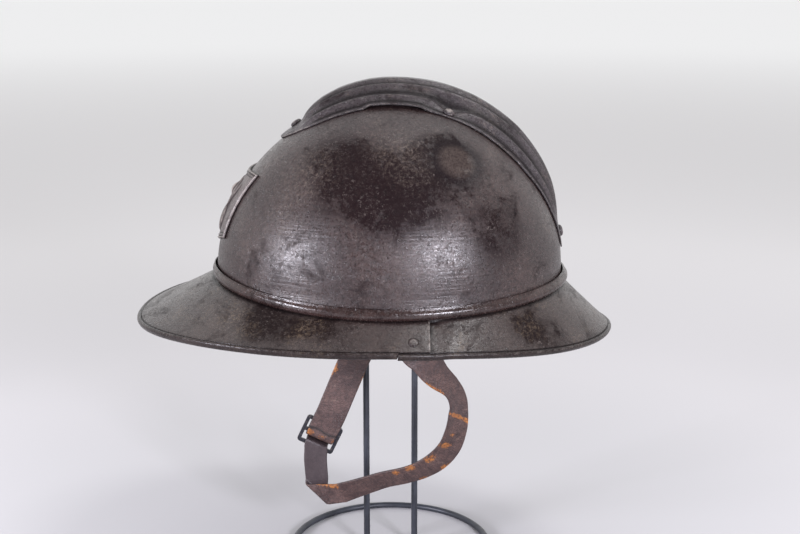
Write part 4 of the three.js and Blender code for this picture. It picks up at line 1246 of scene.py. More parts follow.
@dataclass
class Crest:
    """The pressed comb over the dome, with its ribs, its raised vent edge and its rivets."""

    height: float = 13.0
    half_width: float = 24.0
    front: float = -38.0
    rear: float = 83.0
    vent_lift: float = 1.6
    vent_front: float = -9.0
    vent_rear: float = 14.0
    rib: float = 1.8
    rivet_angle: float = 20.0
    rivet_reach: float = 0.83
    columns: int = 131
    rows: int = 330

    def course(self, angle: np.ndarray) -> tuple[np.ndarray, np.ndarray]:
        """Height and half width along the comb, from the table of its outline.

        Args:
            angle: degrees from straight up.

        Returns:
            The height and the half width.
        """
        f, b = self.front, self.rear
        rows = [
            (f - 1.5, 0.14, 0.22), (f, 0.15, 0.42), (f + 3.5, 0.16, 0.7), (f + 7.5, 0.18, 0.85),
            (f + 9, 0.36, 0.9), (f + 12, 0.54, 0.96), (f + 16, 0.71, 0.99), (f + 23, 0.88, 1.0),
            (f + 32, 0.98, 1.0), (0.0, 1.0, 1.0), (15.0, 1.04, 1.0), (28.0, 1.02, 1.01),
            (b - 40, 0.92, 1.04), (b - 29, 0.73, 1.0), (b - 21, 0.55, 0.86), (b - 13, 0.28, 0.7),
            (b - 8.5, 0.11, 0.6), (b, 0.1, 0.4),
        ]
        keys, tall, wide = zip(*rows)
        tall = self.height * soft_table(angle, keys, tall, 1.6)
        return tall, self.half_width * soft_table(angle, keys, wide, 1.0)

    def profile(self, reach: np.ndarray) -> tuple[np.ndarray, np.ndarray]:
        """Rise and rib height across the comb, from the table of its section.

        Args:
            reach: place across, 0 in the middle and 1 at the edge.

        Returns:
            The share of the height, and the rib in units of the rib height.
        """
        keys = [0.0, 0.2, 0.34, 0.47, 0.56, 0.68, 0.8, 0.9, 1.0]
        rise = [1.0, 0.97, 0.84, 0.76, 0.62, 0.46, 0.36, 0.12, 0.0]
        ribs = [0.0, 0.2, -0.5, 0.5, -0.2, -0.4, 0.7, 0.0, 0.0]
        return soft_table(reach, keys, rise, 0.035), soft_table(reach, keys, ribs, 0.03)

    def lift(self, beside: np.ndarray, angle: np.ndarray) -> tuple[np.ndarray, np.ndarray]:
        """Height over the dome and half width at a place on the comb.

        Args:
            beside: place across, from -1 to 1.
            angle: degrees from straight up.

        Returns:
            The height of the upper face and the comb's half width.
        """
        tall, wide = self.course(angle)
        reach = np.abs(beside)
        edge = SEAT + PLATE
        relief = np.clip((tall - edge) / (self.height / 2), 0.0, 1.0)
        seat = 0.9 * bump(angle, self.rivet_angle, 5.4) * ease(reach, 0.5, 0.78)
        rise, ribs = self.profile(reach)
        body = np.maximum(0.0, tall - edge) * rise + self.rib * ribs * relief
        opening = ease(angle, self.vent_front - 0.6, self.vent_front + 2.6)
        vent = opening * (1 - ease(angle, self.vent_rear - 5.0, self.vent_rear + 0.5))
        return self.vent_lift * vent * ease(reach, 0.8, 0.95) + edge + body * (1 - seat), wide

    def lines(self, reach: np.ndarray, rows: tuple[tuple[float, float, float], ...]) -> np.ndarray:
        """Sum of bell curves across the comb, each with its place, its width and its share."""
        return sum(share * bump(reach, at, wide) for at, wide, share in rows)

    def sheet(self) -> bpy.types.Object:
        """Upper and lower faces on a grid of places beside the middle and angles along the comb.

        Returns:
            The comb.
        """
        beside = np.sin(np.linspace(-1, 1, self.columns) * np.pi / 2 * 0.96) / np.sin(np.pi / 2 * 0.96)
        angle = np.linspace(self.front - 1.5, self.rear, self.rows)
        b, a = np.meshgrid(beside, angle)
        lift, wide = self.lift(b, a)
        base = DOME.beside(b * wide, a)
        out = DOME.normal(0.0 * a, a)
        top = base + out * lift[..., None]
        reach = np.abs(b)
        # Painted highlight and wear along the rib tops.
        rib_wear_and_highlight = self.lines(reach, ((0.49, 0.045, 0.24), (0.8, 0.045, 0.26), (0.19, 0.05, 0.2)))
        # Painted shade in the grooves between the ribs.
        groove_shade = self.lines(reach, ((0.64, 0.075, 0.85), (0.34, 0.06, 0.8), (0.925, 0.04, 0.9)))
        # Painted highlight and wear along the hem's edge.
        hem = 0.5 * ease(reach, 0.98, 0.996) + ease(reach, 0.9, 1.0) * (a < self.front + 9) * 0.25
        fade = 1 - ease(a, self.rear - 16.0, self.rear - 9.0)
        ends = ease(a, self.front + 8.0, self.front + 14.0) * fade
        marks = {"wear": np.maximum(rib_wear_and_highlight * ends, hem), "grime_and_shade": groove_shade * ends}
        return skin_body("crest_comb", top, top - out * PLATE, 42.0, marks)

    def seat(self, beside: float, angle: float) -> tuple[np.ndarray, np.ndarray]:
        """Place and outward direction on the comb's upper face.

        Args:
            beside: place across, from -1 to 1.
            angle: degrees from straight up.

        Returns:
            The place and the direction.
        """

        def at(b: float, a: float) -> np.ndarray:
            """Point of the upper face."""
            lift, wide = self.lift(np.array(b), np.array(a))
            return DOME.beside(b * wide, np.array(a)) + DOME.normal(np.array(0.0), np.array(a)) * lift

        along = at(beside, angle + 0.8) - at(beside, angle - 0.8)
        across = at(beside + 0.04, angle) - at(beside - 0.04, angle)
        out = unit(np.cross(across, along))
        if out @ DOME.normal(np.array(0.0), np.array(angle)) < 0:
            out = -out
        return at(beside, angle), out

    def build(self) -> None:
        """Makes and dresses the comb and its four rivets."""
        dress(self.sheet(), Finish.CREST, "crest_paint", "crest")
        for name, beside, angle in (
            ("front", 0.0, self.front + 5.0), ("rear", 0.0, self.rear - 4.5),
            ("left", self.rivet_reach, self.rivet_angle), ("right", -self.rivet_reach, self.rivet_angle),
        ):
            place, out = self.seat(beside, angle)
            Rivet().build(f"crest_{name}_rivet", place, out, f"crest_rivet_{name}")


@dataclass
class Rivet:
    """Round head, worn a little flat on top."""

    radius: float = 3.6
    tall: float = 2.0
    worn: float = 0.75

    def build(self, name: str, place: np.ndarray, out: np.ndarray, node: str,
              finish: Finish = Finish.CREST) -> None:
        """Turns the head's outline about its axis and sets it on a face.

        Args:
            name: the object's name.
            place: point on the face.
            out: the face's outward direction.
            node: the node that it replaces.
            finish: its finish.
        """
        turn = np.linspace(0, np.pi / 2, 12)
        radius = np.concatenate([[0.0, self.radius * 0.97], self.radius * np.cos(turn) ** 0.8])
        height = np.concatenate([[0.0, 0.0], 0.15 + (self.tall - 0.15) * np.sin(turn) ** 0.9])
        around = np.linspace(0, 2 * np.pi, 36, endpoint=False)
        side = unit(np.cross(out, vec(0.3, 0.2, 0.9)))
        other = np.cross(out, side)
        circle = np.cos(around)[:, None] * side + np.sin(around)[:, None] * other
        rings = place + out * (SEAT * 0.3 + height)[None, :, None] + circle[:, None] * radius[None, :, None]
        shape = len(around), len(radius)
        # Painted highlight and wear on the head's top.
        rubbed = self.worn * ease(height, 0.6 * self.tall, self.tall)
        # Painted shade round the head's foot.
        foot_shade = 0.8 * (1 - ease(height, 0.0, 0.3 * self.tall))
        marks = {"wear": np.broadcast_to(rubbed, shape), "grime_and_shade": np.broadcast_to(foot_shade, shape)}
        head = put_mesh(name, rings.reshape(-1, 3), grid_faces(*shape, wrap_rows=True), 60.0, marks=marks)
        dress(head, finish, "rivet_steel", node)


# Badge

@dataclass
class Badge:
    """Stamped shield with a raised double border and a flaming round shell, bent to the dome."""

    half_width: float = 31.0
    top: float = -54.8
    top_corner: float = -52.0
    corner: float = -77.4
    point: float = -81.2
    border_wide: float = 2.6
    border_tall: float = 0.9
    ball: float = 9.5
    ball_proud: float = 2.3
    flame: float = 28.0
    flame_proud: float = 1.4
    tongue_turn: float = 0.26
    bulge_rise: float = 18.5
    bulge_tall: float = 4.6
    bulge_wide: float = 7.0
    bulge_proud: float = 2.8

    def relief(self, across: np.ndarray, up: np.ndarray) -> np.ndarray:
        """Half a sphere for the shell, and a fan of tongues over it that bend as they rise.

        Args:
            across: distance beside the badge's middle.
            up: height over the shell's middle.

        Returns:
            Height over the plate.
        """
        away = np.hypot(across, up) / self.ball
        ball = self.ball_proud * np.sqrt(np.maximum(0.0, 1 - away ** 2))
        lean = np.arctan2(across + 1.2 * np.sin(up / 4.0), up + self.ball * 0.4)
        tongue = np.cos(2 * np.pi * lean / self.tongue_turn)
        length = np.hypot(across, up) / (self.ball + self.flame * (0.5 + 0.17 * tongue))
        fan = 1 - ease(np.abs(lean), 0.56, 0.66)
        tongues = 0.66 + 0.34 * tongue
        flames = self.flame_proud * fan * tongues * np.sqrt(np.maximum(0.0, 1 - length ** 4))
        off = ((up - self.bulge_rise) / self.bulge_tall) ** 2 + (across / self.bulge_wide) ** 2
        bulge = self.bulge_proud * np.exp(-off) * (0.84 + 0.16 * tongue)
        return np.maximum(np.maximum(ball, bulge + 0.25 * flames), np.where(up > 0, flames, 0.0))

    def hollows(self, rise: np.ndarray, step: int = 4) -> np.ndarray:
        """How far each point lies under the mean of the four points that many grid steps beside it.

        Args:
            rise: height of the face over the plate at each grid point.
            step: grid steps to the points compared.

        Returns:
            The depth in millimetres, negative on a ridge.
        """
        beside = sum(np.roll(rise, way * step, axis) for way in (-1, 1) for axis in (0, 1))
        return beside / 4.0 - rise

    def build(self) -> None:
        """Front and back faces on a grid across and down the shield."""
        side, down = np.meshgrid(np.linspace(-1, 1, 181), np.linspace(0, 1, 171))
        half = self.half_width * (1 - 0.03 * np.sin(down * np.pi) - 0.06 * down ** 3)
        foot = self.point + (self.corner - self.point) * np.abs(side) ** 1.2
        head = self.top + (self.top_corner - self.top) * np.abs(side) ** 1.5
        angle = head + (foot - head) * down
        across = side * half
        ends = DOME.beside(np.zeros(2), np.array([self.top, self.point]))
        tall = np.linalg.norm(ends[0] - ends[1])
        edge = np.minimum(half - np.abs(across), np.minimum(down, 1 - down) * tall)
        outer = bump(edge, self.border_wide * 0.36, 0.42)
        inner = bump(edge, self.border_wide * 1.02, 0.36)
        border = self.border_tall * (outer + 0.75 * inner) - 0.35 * (1 - ease(edge, 0.0, 0.5))
        rise = np.maximum(border, self.relief(across, (0.7 - down) * tall) - 0.02)
        out = DOME.normal(across, angle)
        seated = DOME.beside(across, angle) + out * SEAT * 0.5
        streak = 0.18 + 0.16 * np.sin(across * 1.9 + 3.0 * down) * np.sin(across * 0.7 + 9.0 * down)
        hollow = self.hollows(rise) * ease(edge, self.border_wide * 1.3, self.border_wide * 1.8)
        # Painted highlight and wear on the relief's ridges and tops.
        relief_top_wear_and_highlight = 0.36 * ease(-hollow, 0.01, 0.06) + 0.25 * ease(rise, 1.2, 2.4)
        # Painted highlight and wear on both lines of the border, with streaks of the plate's own tone.
        wear = np.clip(outer * 0.7 + inner * 0.4 + relief_top_wear_and_highlight + streak, 0, 1)
        # Painted shade beside the border lines, at the edge's foot and in the relief's hollows.
        grime_and_shade = bump(edge, self.border_wide * 0.66, 0.4) + bump(edge, self.border_wide * 1.4, 0.6) * 0.7
        grime_and_shade = grime_and_shade + 0.9 * (1 - ease(edge, 0.0, 0.3)) + 0.62 * ease(hollow, 0.01, 0.08)
        face = seated + out * (PLATE + rise)[..., None]
        shield = skin_body("shield_badge", face, seated, 50.0, {"wear": wear, "grime_and_shade": grime_and_shade})
        dress(shield, Finish.BADGE, "badge_paint", "badge")


# Lugs, straps and buckle

@dataclass(frozen=True)
class StrapSpace:
    """Where the straps hang: lug bars, swing and drop, the fold and the buckle."""

    aft: float = 12.0
    lug_wide: float = 27.0
    lug_plate: float = 2.0
    lug_tall: float = 27.0
    lug_bar: float = 2.5
    lug_slot: float = 5.5
    drop: float = 128.0
    swing: float = 46.0
    leather: float = 1.6
    narrow: float = 14.8
    wide: float = 19.2
    tongue: float = 18.4
    at_lug: float = 17.6
    fold_radius: float = 2.1
    buckle_half_width: float = 12.3
    buckle_half_tall: float = 9.35
    buckle_bar: float = 2.2
    buckle_plate: float = 2.0
    beside: float = 0.5

    @property
    def lug_bottom(self) -> float:
        """Height of a lug's lower edge."""
        return DOME.band_side - DOME.band_tall / 2 - 9.0

    @property
    def across(self) -> float:
        """Distance of a lug's middle from the helmet's middle plane."""
        far = (self.aft + self.lug_wide / 2) / DOME.rear_reach
        return DOME.half_width * np.sqrt(1 - far ** 2) - PLATE - 2 * SEAT - self.lug_plate / 2 - 0.2

    def bar(self, side: float) -> np.ndarray:
        """Middle of a lug's lower bar."""
        return vec(side * self.across, self.aft, self.lug_bottom + self.lug_bar / 2)

    def hang(self, across: float, along: float, down: float) -> np.ndarray:
        """Place from shares of the lug's distance, of the swing and of the drop."""
        return vec(across * self.across, along * self.swing, self.bar(1)[2] - down * self.drop)

    @property
    def frame(self) -> tuple[np.ndarray, np.ndarray, np.ndarray, np.ndarray]:
        """The buckle's middle, and its directions up the strap, out of its face and across.

        Returns:
            The middle, then the three directions.
        """
        up = unit(vec(0.02, 0.428, 0.903))
        out = unit(vec(1, 0, 0) - up * up[0])
        return self.hang(0.103, -0.976, 0.697), up, out, unit(np.cross(up, out))

    def at_buckle(self, up: float, out: float, across: float = 0.0) -> np.ndarray:
        """Place on the strap at the buckle."""
        middle, u, o, a = self.frame
        return middle + a * (self.beside + across) + u * up + o * out


SPACE = StrapSpace()

# Gives a mark, 0 to 1, from the distance along in millimetres, the place across from -1 to 1 and the side.
StrapMark = Callable[[np.ndarray, np.ndarray, np.ndarray], np.ndarray]


@dataclass
class Station:
    """One station of a strap's course."""

    place: np.ndarray
    facing: np.ndarray
    half: float


def lug_turn(side: float, half: float) -> list[Station]:
    """Turn of a strap over a lug's bar, from its tail inside to its body outside.

    Args:
        side: 1 for the left lug, -1 for the right.
        half: the strap's half width.

    Returns:
        The stations of the turn.
    """
    radius = np.hypot(SPACE.lug_plate, SPACE.lug_bar) / 2 + SEAT + SPACE.leather / 2
    bar = SPACE.bar(side)
    turned = [vec(-side * np.cos(t), 0, np.sin(t)) for t in np.linspace(0, np.pi, 5)]
    stations = [Station(bar + vec(-side * radius, 0, up), turned[0], half) for up in (-16.0, -8.0)]
    return stations + [Station(bar + t * radius, t, half) for t in turned]


def strap_path(stations: list[Station], between: int) -> tuple[np.ndarray, np.ndarray, np.ndarray]:
    """Centripetal Catmull-Rom curve through the stations.

    Args:
        stations: the course.
        between: steps from each station to the next.

    Returns:
        Places, facings and half widths of every step.
    """
    p = np.array([s.place for s in stations])
    ends = np.concatenate([[2 * p[0] - p[1]], p, [2 * p[-1] - p[-2]]])
    t = np.linspace(0, 1, between, endpoint=False)[:, None]
    places = []
    for k in range(len(p) - 1):
        p0, p1, p2, p3 = ends[k:k + 4]
        d0, d1, d2 = (max(1e-6, np.linalg.norm(b - a)) ** 0.5 for a, b in ((p0, p1), (p1, p2), (p2, p3)))
        m1 = (p2 - p1) + d1 * ((p1 - p0) / d0 - (p2 - p0) / (d0 + d1))
        m2 = (p2 - p1) + d1 * ((p3 - p2) / d2 - (p3 - p1) / (d1 + d2))
        places.append((2 * t ** 3 - 3 * t ** 2 + 1) * p1 + (t ** 3 - 2 * t ** 2 + t) * m1
                      + (-2 * t ** 3 + 3 * t ** 2) * p2 + (t ** 3 - t ** 2) * m2)
    places = np.concatenate(places + [p[-1:]])
    key = np.arange(len(stations))
    at = np.linspace(0, len(stations) - 1, len(places))
    facing = np.stack([np.interp(at, key, [s.facing[c] for s in stations]) for c in range(3)], -1)
    return places, unit(facing), np.interp(at, key, [s.half for s in stations])


def strap_frames(places: np.ndarray, facing: np.ndarray, half: np.ndarray) -> tuple[np.ndarray, np.ndarray]:
    """Half-width vectors across the strap and the direction that its marked face looks.

    Args:
        places: middle line.
        facing: roughly the way the marked face looks.
        half: half width at each place.

    Returns:
        The vectors and the exact directions.
    """
    along = unit(np.gradient(places, axis=0))
    across = unit(np.cross(along, facing))
    return across * half[:, None], np.cross(across, along)


def distance_along(places: np.ndarray) -> np.ndarray:
    """Length of a course from its start to each of its points."""
    steps = np.linalg.norm(np.diff(places, axis=0), axis=1)
    return np.concatenate([[0], np.cumsum(steps)])


def strap_body(name: str, places: np.ndarray, across: np.ndarray, face: np.ndarray, rub: StrapMark,
               crease: StrapMark | None = None) -> bpy.types.Object:
    """Leather ribbon with rounded edges: a flat oval section carried along the course.

    Args:
        name: the object's name.
        places: middle line.
        across: half-width vectors.
        face: directions of the marked face.
        rub: wear from 0 to 1.
        crease: 1 where the shade of a crease is painted.

    Returns:
        The strap.
    """
    thick = SPACE.leather / 2
    flat = np.linspace(-1, 1, 25)
    turn = np.radians(np.linspace(-80, 80, 6))
    width = np.linalg.norm(across, axis=1)
    inset = thick / width
    top = np.stack([flat[None] * (1 - inset[:, None]), np.ones((len(width), len(flat)))], -1)
    bulge = (1 - inset[:, None]) + inset[:, None] * np.cos(turn)[None]
    edge = np.stack([bulge, np.sin(turn)[None] + 0 * inset[:, None]], -1)
    loop = np.concatenate([top, edge[:, ::-1], top[:, ::-1] * [1, -1], edge * [-1, 1]], axis=1)
    lift = loop[..., 1:2] * thick
    rings = places[:, None] + across[:, None] * loop[..., 0:1] + face[:, None] * lift
    run = np.broadcast_to(distance_along(places)[:, None], loop.shape[:2]).ravel()
    beside, side = loop[..., 0].ravel(), np.sign(loop[..., 1]).ravel()
    marks = {
        "wear": rub(run, beside, side),
        "tone": np.where(side > 0, 0.0, 1.0),
        "crease": crease(run, beside, side) if crease else 0.0 * run,
    }
    return put_mesh(name, *loft(rings, False), 55.0, False, marks)


@dataclass
class Lug:
    """Plain plate riveted inside the wall, with a slot that the strap turns through."""

    side: float

    def build(self, name: str, node: str) -> None:
        """Outline with rounded corners and slot, given a thickness and softened edges.

        Args:
            name: the object's name.
            node: the node that it replaces.
        """
        half, tall = SPACE.lug_wide / 2, SPACE.lug_tall
        slot_half = half - SPACE.lug_bar
        shoulder, head = tall * 0.75, half * 0.62
        outer = np.array([
            (-half, 0), (half, 0), (half, shoulder), (head, tall), (-head, tall), (-half, shoulder),
        ])
        low, high = SPACE.lug_bar, SPACE.lug_bar + SPACE.lug_slot
        slot = np.array([(-slot_half, low), (slot_half, low), (slot_half, high), (-slot_half, high)])
        middle = vec(self.side * SPACE.across, SPACE.aft, SPACE.lug_bottom)
        plate = plate_mesh(name, outer, slot[None], SPACE.lug_plate, middle, vec(0, 1, 0), vec(0, 0, 1))
        soften(plate, 0.35, 2)
        dress(plate, Finish.STEEL, "dark_steel", node)


def plate_mesh(name: str, outer: np.ndarray, holes: np.ndarray, thick: float, middle: np.ndarray,
               right: np.ndarray, up: np.ndarray) -> bpy.types.Object:
    """Flat plate with holes: its outline is filled, then given a thickness.

    Args:
        name: the object's name.
        outer: outline, n by 2.
        holes: outlines of the holes.
        thick: thickness.
        middle: place of the outline's origin.
        right: direction of the outline's first axis.
        up: direction of its second axis.

    Returns:
        The plate.
    """
    build = bmesh.new()
    out = np.cross(right, up)
    for loop in [outer, *holes]:
        points = middle + loop[:, :1] * right + loop[:, 1:] * up - out * thick / 2
        verts = [build.verts.new((p + vec(0, DOME_MIDDLE_Y, 0)) * MM) for p in points]
        for a, b in zip(verts, verts[1:] + verts[:1]):
            build.edges.new((a, b))
    bmesh.ops.triangle_fill(build, use_beauty=True, edges=build.edges, normal=Vector(out))
    bmesh.ops.dissolve_limit(build, angle_limit=0.01, verts=build.verts, edges=build.edges)
    faces = list(build.faces)
    grown = bmesh.ops.extrude_face_region(build, geom=faces)
    moved = [g for g in grown["geom"] if isinstance(g, bmesh.types.BMVert)]
    bmesh.ops.translate(build, verts=moved, vec=Vector(out * thick * MM))
    bmesh.ops.recalc_face_normals(build, faces=build.faces)
    mesh = bpy.data.meshes.new(name)
    build.to_mesh(mesh)
    build.free()
    piece = bpy.data.objects.new(name, mesh)
    bpy.context.scene.collection.objects.link(piece)
    return piece


def soften(piece: bpy.types.Object, width_mm: float, segments: int) -> None:
    """Rounds the crisp edges of a plate by a real width.

    Args:
        piece: the plate.
        width_mm: how far the edge is worn.
        segments: faces across the rounding.
    """
    bevel = piece.modifiers.new("worn_edges", "BEVEL")
    bevel.width = width_mm * MM
    bevel.segments = segments
    bevel.limit_method = "ANGLE"
    bevel.angle_limit = np.radians(40)
    bevel.harden_normals = False
    piece.data.shade_smooth()
    piece.data.set_sharp_from_angle(angle=np.radians(40))


# Course of the narrow strap: shares across, along and down, the way its marked face looks, half width.
CHIN_COURSE: list[tuple[float, ...]] = [
    (1.030, 0.270, 0.041, 1, 0, 0, 1),
    (1.024, 0.313, 0.084, 0.98, 0.16, 0.1, 1),
    (0.993, 0.450, 0.130, 0.93, 0.3, 0.18, 1),
    (0.911, 0.621, 0.231, 0.84, 0.48, 0.24, 0.98),
    (0.836, 0.788, 0.311, 0.7, 0.7, 0.12, 0.93),
    (0.785, 0.868, 0.375, 0.72, 0.69, 0, 0.88),
    (0.743, 0.882, 0.441, 0.82, 0.57, 0, 0.86),
    (0.679, 0.863, 0.537, 0.92, 0.38, -0.08, 0.85),
    (0.609, 0.783, 0.640, 0.97, 0.2, -0.1, 0.84),
    (0.548, 0.636, 0.720, 0.97, 0.1, -0.2, 0.84),
    (0.488, 0.434, 0.783, 0.92, 0.04, -0.38, 0.84),
    (0.427, 0.210, 0.828, 0.88, 0, -0.46, 0.84),
    (0.370, -0.084, 0.867, 0.88, 0, -0.46, 0.84),
    (0.320, -0.289, 0.904, 0.9, 0, -0.4, 0.84),
    (0.276, -0.486, 0.939, 0.93, -0.03, -0.33, 0.84),
    (0.229, -0.683, 0.975, 0.97, -0.1, -0.18, 0.84),
]

# Rubbed places of the narrow strap: y and z of its middle line, place across (0 is right across), length,
# width across, share.
CHIN_RUBS: list[tuple[float, ...]] = [
    (40.3, 111.2, 0.0, 1.5, 9.0, 1.2),
    (27.8, 141.4, 1.0, 5.0, 0.2, 1.0),
    (31.9, 136.0, 1.0, 4.0, 0.25, 1.0),
    (36.4, 89.3, 0.5, 3.4, 0.5, 1.0),
    (28.0, 76.5, 0.6, 4.6, 0.4, 1.0),
    (15.7, 67.1, 0.75, 4.2, 0.35, 1.0),
    (5.3, 62.2, 0.65, 3.4, 0.3, 0.75),
    (16.4, 67.6, -0.95, 3.6, 0.4, 0.8),
    (29.1, 77.5, -0.95, 4.0, 0.4, 0.9),
    (38.6, 98.0, 0.3, 2.2, 0.3, 0.7),
    (-31.4, 45.0, 0.9, 2.4, 0.4, 0.9),
]

# Course of the wide strap: shares across, along and down, and the way its marked face looks.
UPPER_COURSE: list[tuple[float, ...]] = [
    (-1.025, 0.26, 0.06, 1, 0, 0.3),
    (-0.94, 0.25, 0.1, 0.5, 0, 0.86),
    (-0.7, 0.2, 0.11, 0, 0, 1),
    (-0.4, 0.12, 0.105, 0, 0, 1),
    (-0.12, 0.02, 0.1, 0.1, 0, 1),
    (0.03, -0.05, 0.115, 0.5, 0, 0.86),
    (0.1, -0.17, 0.15, 0.9, 0, 0.4),
    (0.122, -0.3, 0.2, 1, 0, 0.1),
    (0.125, -0.445, 0.27, 1, 0, 0),
    (0.126, -0.54, 0.346, 1, 0, 0),
    (0.127, -0.66, 0.45, 1, 0, 0),
]


@dataclass
class Straps:
    """The chin strap in two lengths that meet at a frame buckle, and the lugs that carry them."""

    def chin_stations(self) -> list[Station]:
        """Loose stretch from the left lug to the fold, from the table of its course."""
        return [Station(SPACE.hang(*row[:3]), unit(np.array(row[3:6])), row[6] * SPACE.at_lug / 2)
                for row in CHIN_COURSE]

    def fold(self) -> tuple[np.ndarray, np.ndarray, np.ndarray, np.ndarray, np.ndarray]:
        """Half turn of the strap about a slanting line, as a flat ribbon folds.

        Returns:
            Places, half-width vectors and faces of the fold, then the direction of leaving and its face.
        """
        half = SPACE.narrow / 2
        approach = unit(vec(-0.15, -0.97, -0.19))
        line = unit(vec(-0.15, -0.73, 0.667))
        middle = SPACE.hang(0.165, -0.962, 0.993)
        along = approach @ line
        outward = unit(approach - line * along)
        across = np.sqrt(1 - along ** 2)
        leaving = 2 * along * line - approach
        near = unit(np.cross(leaving, approach))
        turn = np.linspace(0, np.pi, 15)
        normal = np.cos(turn)[:, None] * near + np.sin(turn)[:, None] * outward
        run = SPACE.fold_radius * turn * along / across
        places = middle + normal * SPACE.fold_radius + line * run[:, None]
        laterals = np.repeat((line * (half / across))[None], len(turn), 0)
        return places, laterals, normal, leaving, -near

    def rising_stations(self, last: np.ndarray, leaving: np.ndarray, face: np.ndarray) -> list[Station]:
        """Stretch that rises from the fold and turns round the buckle's lower bar.

        Args:
            last: last place of the fold.
            leaving: direction of the strap there.
            face: the way its marked face looks there.

        Returns:
            The stations up to the strap's end.
        """
        half = SPACE.narrow / 2
        _, up, out, _ = SPACE.frame
        back, dive = -out, -up
        low = -SPACE.buckle_half_tall + SPACE.buckle_bar
        at = SPACE.at_buckle
        turning = unit(back + dive)
        course = (
            (at(low - 8.0, 2.7, 3.4), back), (at(low - 2.6, 2.4, 1.2), back), (at(low + 0.15, 2.25), back),
            (at(low + 1.05, 1.75), turning), (at(low + 1.4, 0.6), dive), (at(low + 1.55, -1.0), dive),
            (at(low + 2.25, -2.9), turning), (at(low + 3.95, -4.4), back), (at(0.0, -5.0), back),
            (at(SPACE.buckle_half_tall, -5.0), back),
        )
        return [Station(last + leaving * 5.0, face, half)] + [Station(*row, half) for row in course]

    def chin_strap(self) -> bpy.types.Object:
        """The narrow strap: lug, loose stretch, fold, buckle.

        Returns:
            The strap.
        """
        first = strap_path(lug_turn(1, SPACE.at_lug / 2) + self.chin_stations(), 10)
        a_place, (a_across, a_face) = first[0], strap_frames(*first)
        f_place, f_across, f_face, leaving, face = self.fold()
        second = strap_path(self.rising_stations(f_place[-1], leaving, face), 10)
        b_place, (b_across, b_face) = second[0], strap_frames(*second)
        places = np.concatenate([a_place, f_place, b_place])
        across = np.concatenate([a_across, f_across, b_across])
        faces = np.concatenate([a_face, f_face, b_face])
        line_y, line_z = places[:, 1], places[:, 2]
        run = distance_along(places)
        loose = (run > run[len(a_place) // 4]) & (run < run[len(a_place)])
        inset = 0.17 * bump(line_z, 131.0, 9.0) * loose - 0.05 * bump(line_z, 150.0, 7.0) * loose
        places = places - across * inset[:, None]
        across = across * (1 - inset)[:, None]

        def rub(along: np.ndarray, beside: np.ndarray, side: np.ndarray) -> np.ndarray:
            """Rubbed places from the table, and a thin line along both edges.

            Args:
                along: distance along in millimetres.
                beside: place across, from -1 to 1.
                side: 1 on the marked face, -1 behind.

            Returns:
                The wear.
            """
            y, z = np.interp(along, run, line_y), np.interp(along, run, line_z)
            total = ease(np.abs(beside), 0.9, 1.0) * 0.2
            for at_y, at_z, at_beside, length, width, share in CHIN_RUBS:
                away = np.hypot(y - at_y, z - at_z - 6.1 * beside * (at_beside == 0.0))
                total += share * np.exp(-(away / length) ** 2 - ((beside - at_beside) / width) ** 2)
            return total * (side > -0.5)

        return strap_body("chin_strap_leather", places, across, faces, rub)

    def upper_strap(self) -> bpy.types.Object:
        """The wide strap: lug, hidden run between the posts, down to the buckle and round its bar.

        Returns:
            The strap.
        """
        half = SPACE.wide / 2
        lug_half = min(half, SPACE.lug_wide / 2 - SPACE.lug_bar - SEAT)
        turn = [Station(s.place, -s.facing, s.half) for s in lug_turn(-1, lug_half)]
        run = [Station(SPACE.hang(*row[:3]), unit(np.array(row[3:6])), half) for row in UPPER_COURSE]
        _, up, out, _ = SPACE.frame
        tall = SPACE.buckle_half_tall
        bar = np.hypot(SPACE.buckle_bar, SPACE.buckle_plate) / 2 + SEAT + SPACE.leather / 2
        tongue = SPACE.tongue / 2
        at = SPACE.at_buckle
        end = [
            Station(at(tall + 6, 2.6), out, half), Station(at(tall - 1, 2.6), out, half),
            Station(at(tall / 2, bar), out, (half + tongue) / 2),
        ]
        for around in np.linspace(0, np.pi, 5):
            facing = out * np.cos(around) - up * np.sin(around)
            end.append(Station(at(0, 0) + facing * bar, facing, tongue))
        end += [Station(at(u, -bar), -out, tongue) for u in (tall / 2, tall - 1, tall + 4)]
        path = strap_path(turn + run + end, 10)
        across, faces = strap_frames(*path)
        length, height = distance_along(path[0]), path[0][:, 2]

        def rub(along: np.ndarray, beside: np.ndarray, side: np.ndarray) -> np.ndarray:
            """Rubbed edges near the top, and the worn turn round the buckle's bar.

            Args:
                along: distance along in millimetres.
                beside: place across, from -1 to 1.
                side: 1 on the marked face, -1 behind.

            Returns:
                The wear.
            """
            z = np.interp(along, length, height)
            edges = ease(np.abs(beside), 0.84, 1.0) * (0.2 + 0.8 * bump(z, 121.0, 5.0))
            patch = 0.5 * bump(z, 121.0, 3.0) * bump(beside, 0.8, 0.2)
            spots = bump(beside, 0.8, 0.3) + 0.8 * bump(beside, -0.1, 0.3) + 0.7 * bump(beside, -0.9, 0.25)
            return edges * (z > 84.0) + patch + 0.95 * bump(z, 80.3, 2.2) * spots * (side > 0)

        def crease(along: np.ndarray, beside: np.ndarray, side: np.ndarray) -> np.ndarray:
            """Painted shade: a dark line above the turn round the bar.

            Args:
                along: distance along in millimetres.
                beside: place across, from -1 to 1.
                side: 1 on the marked face, -1 behind.

            Returns:
                The mark.
            """
            z = np.interp(along, length, height)
            before = along < length[np.argmin(height)]
            return bump(z, 83.3 + 0.5 * np.sin(beside * 4.0), 0.8) * (side > 0) * before

        return strap_body("upper_strap_leather", path[0], across, faces, rub, crease)

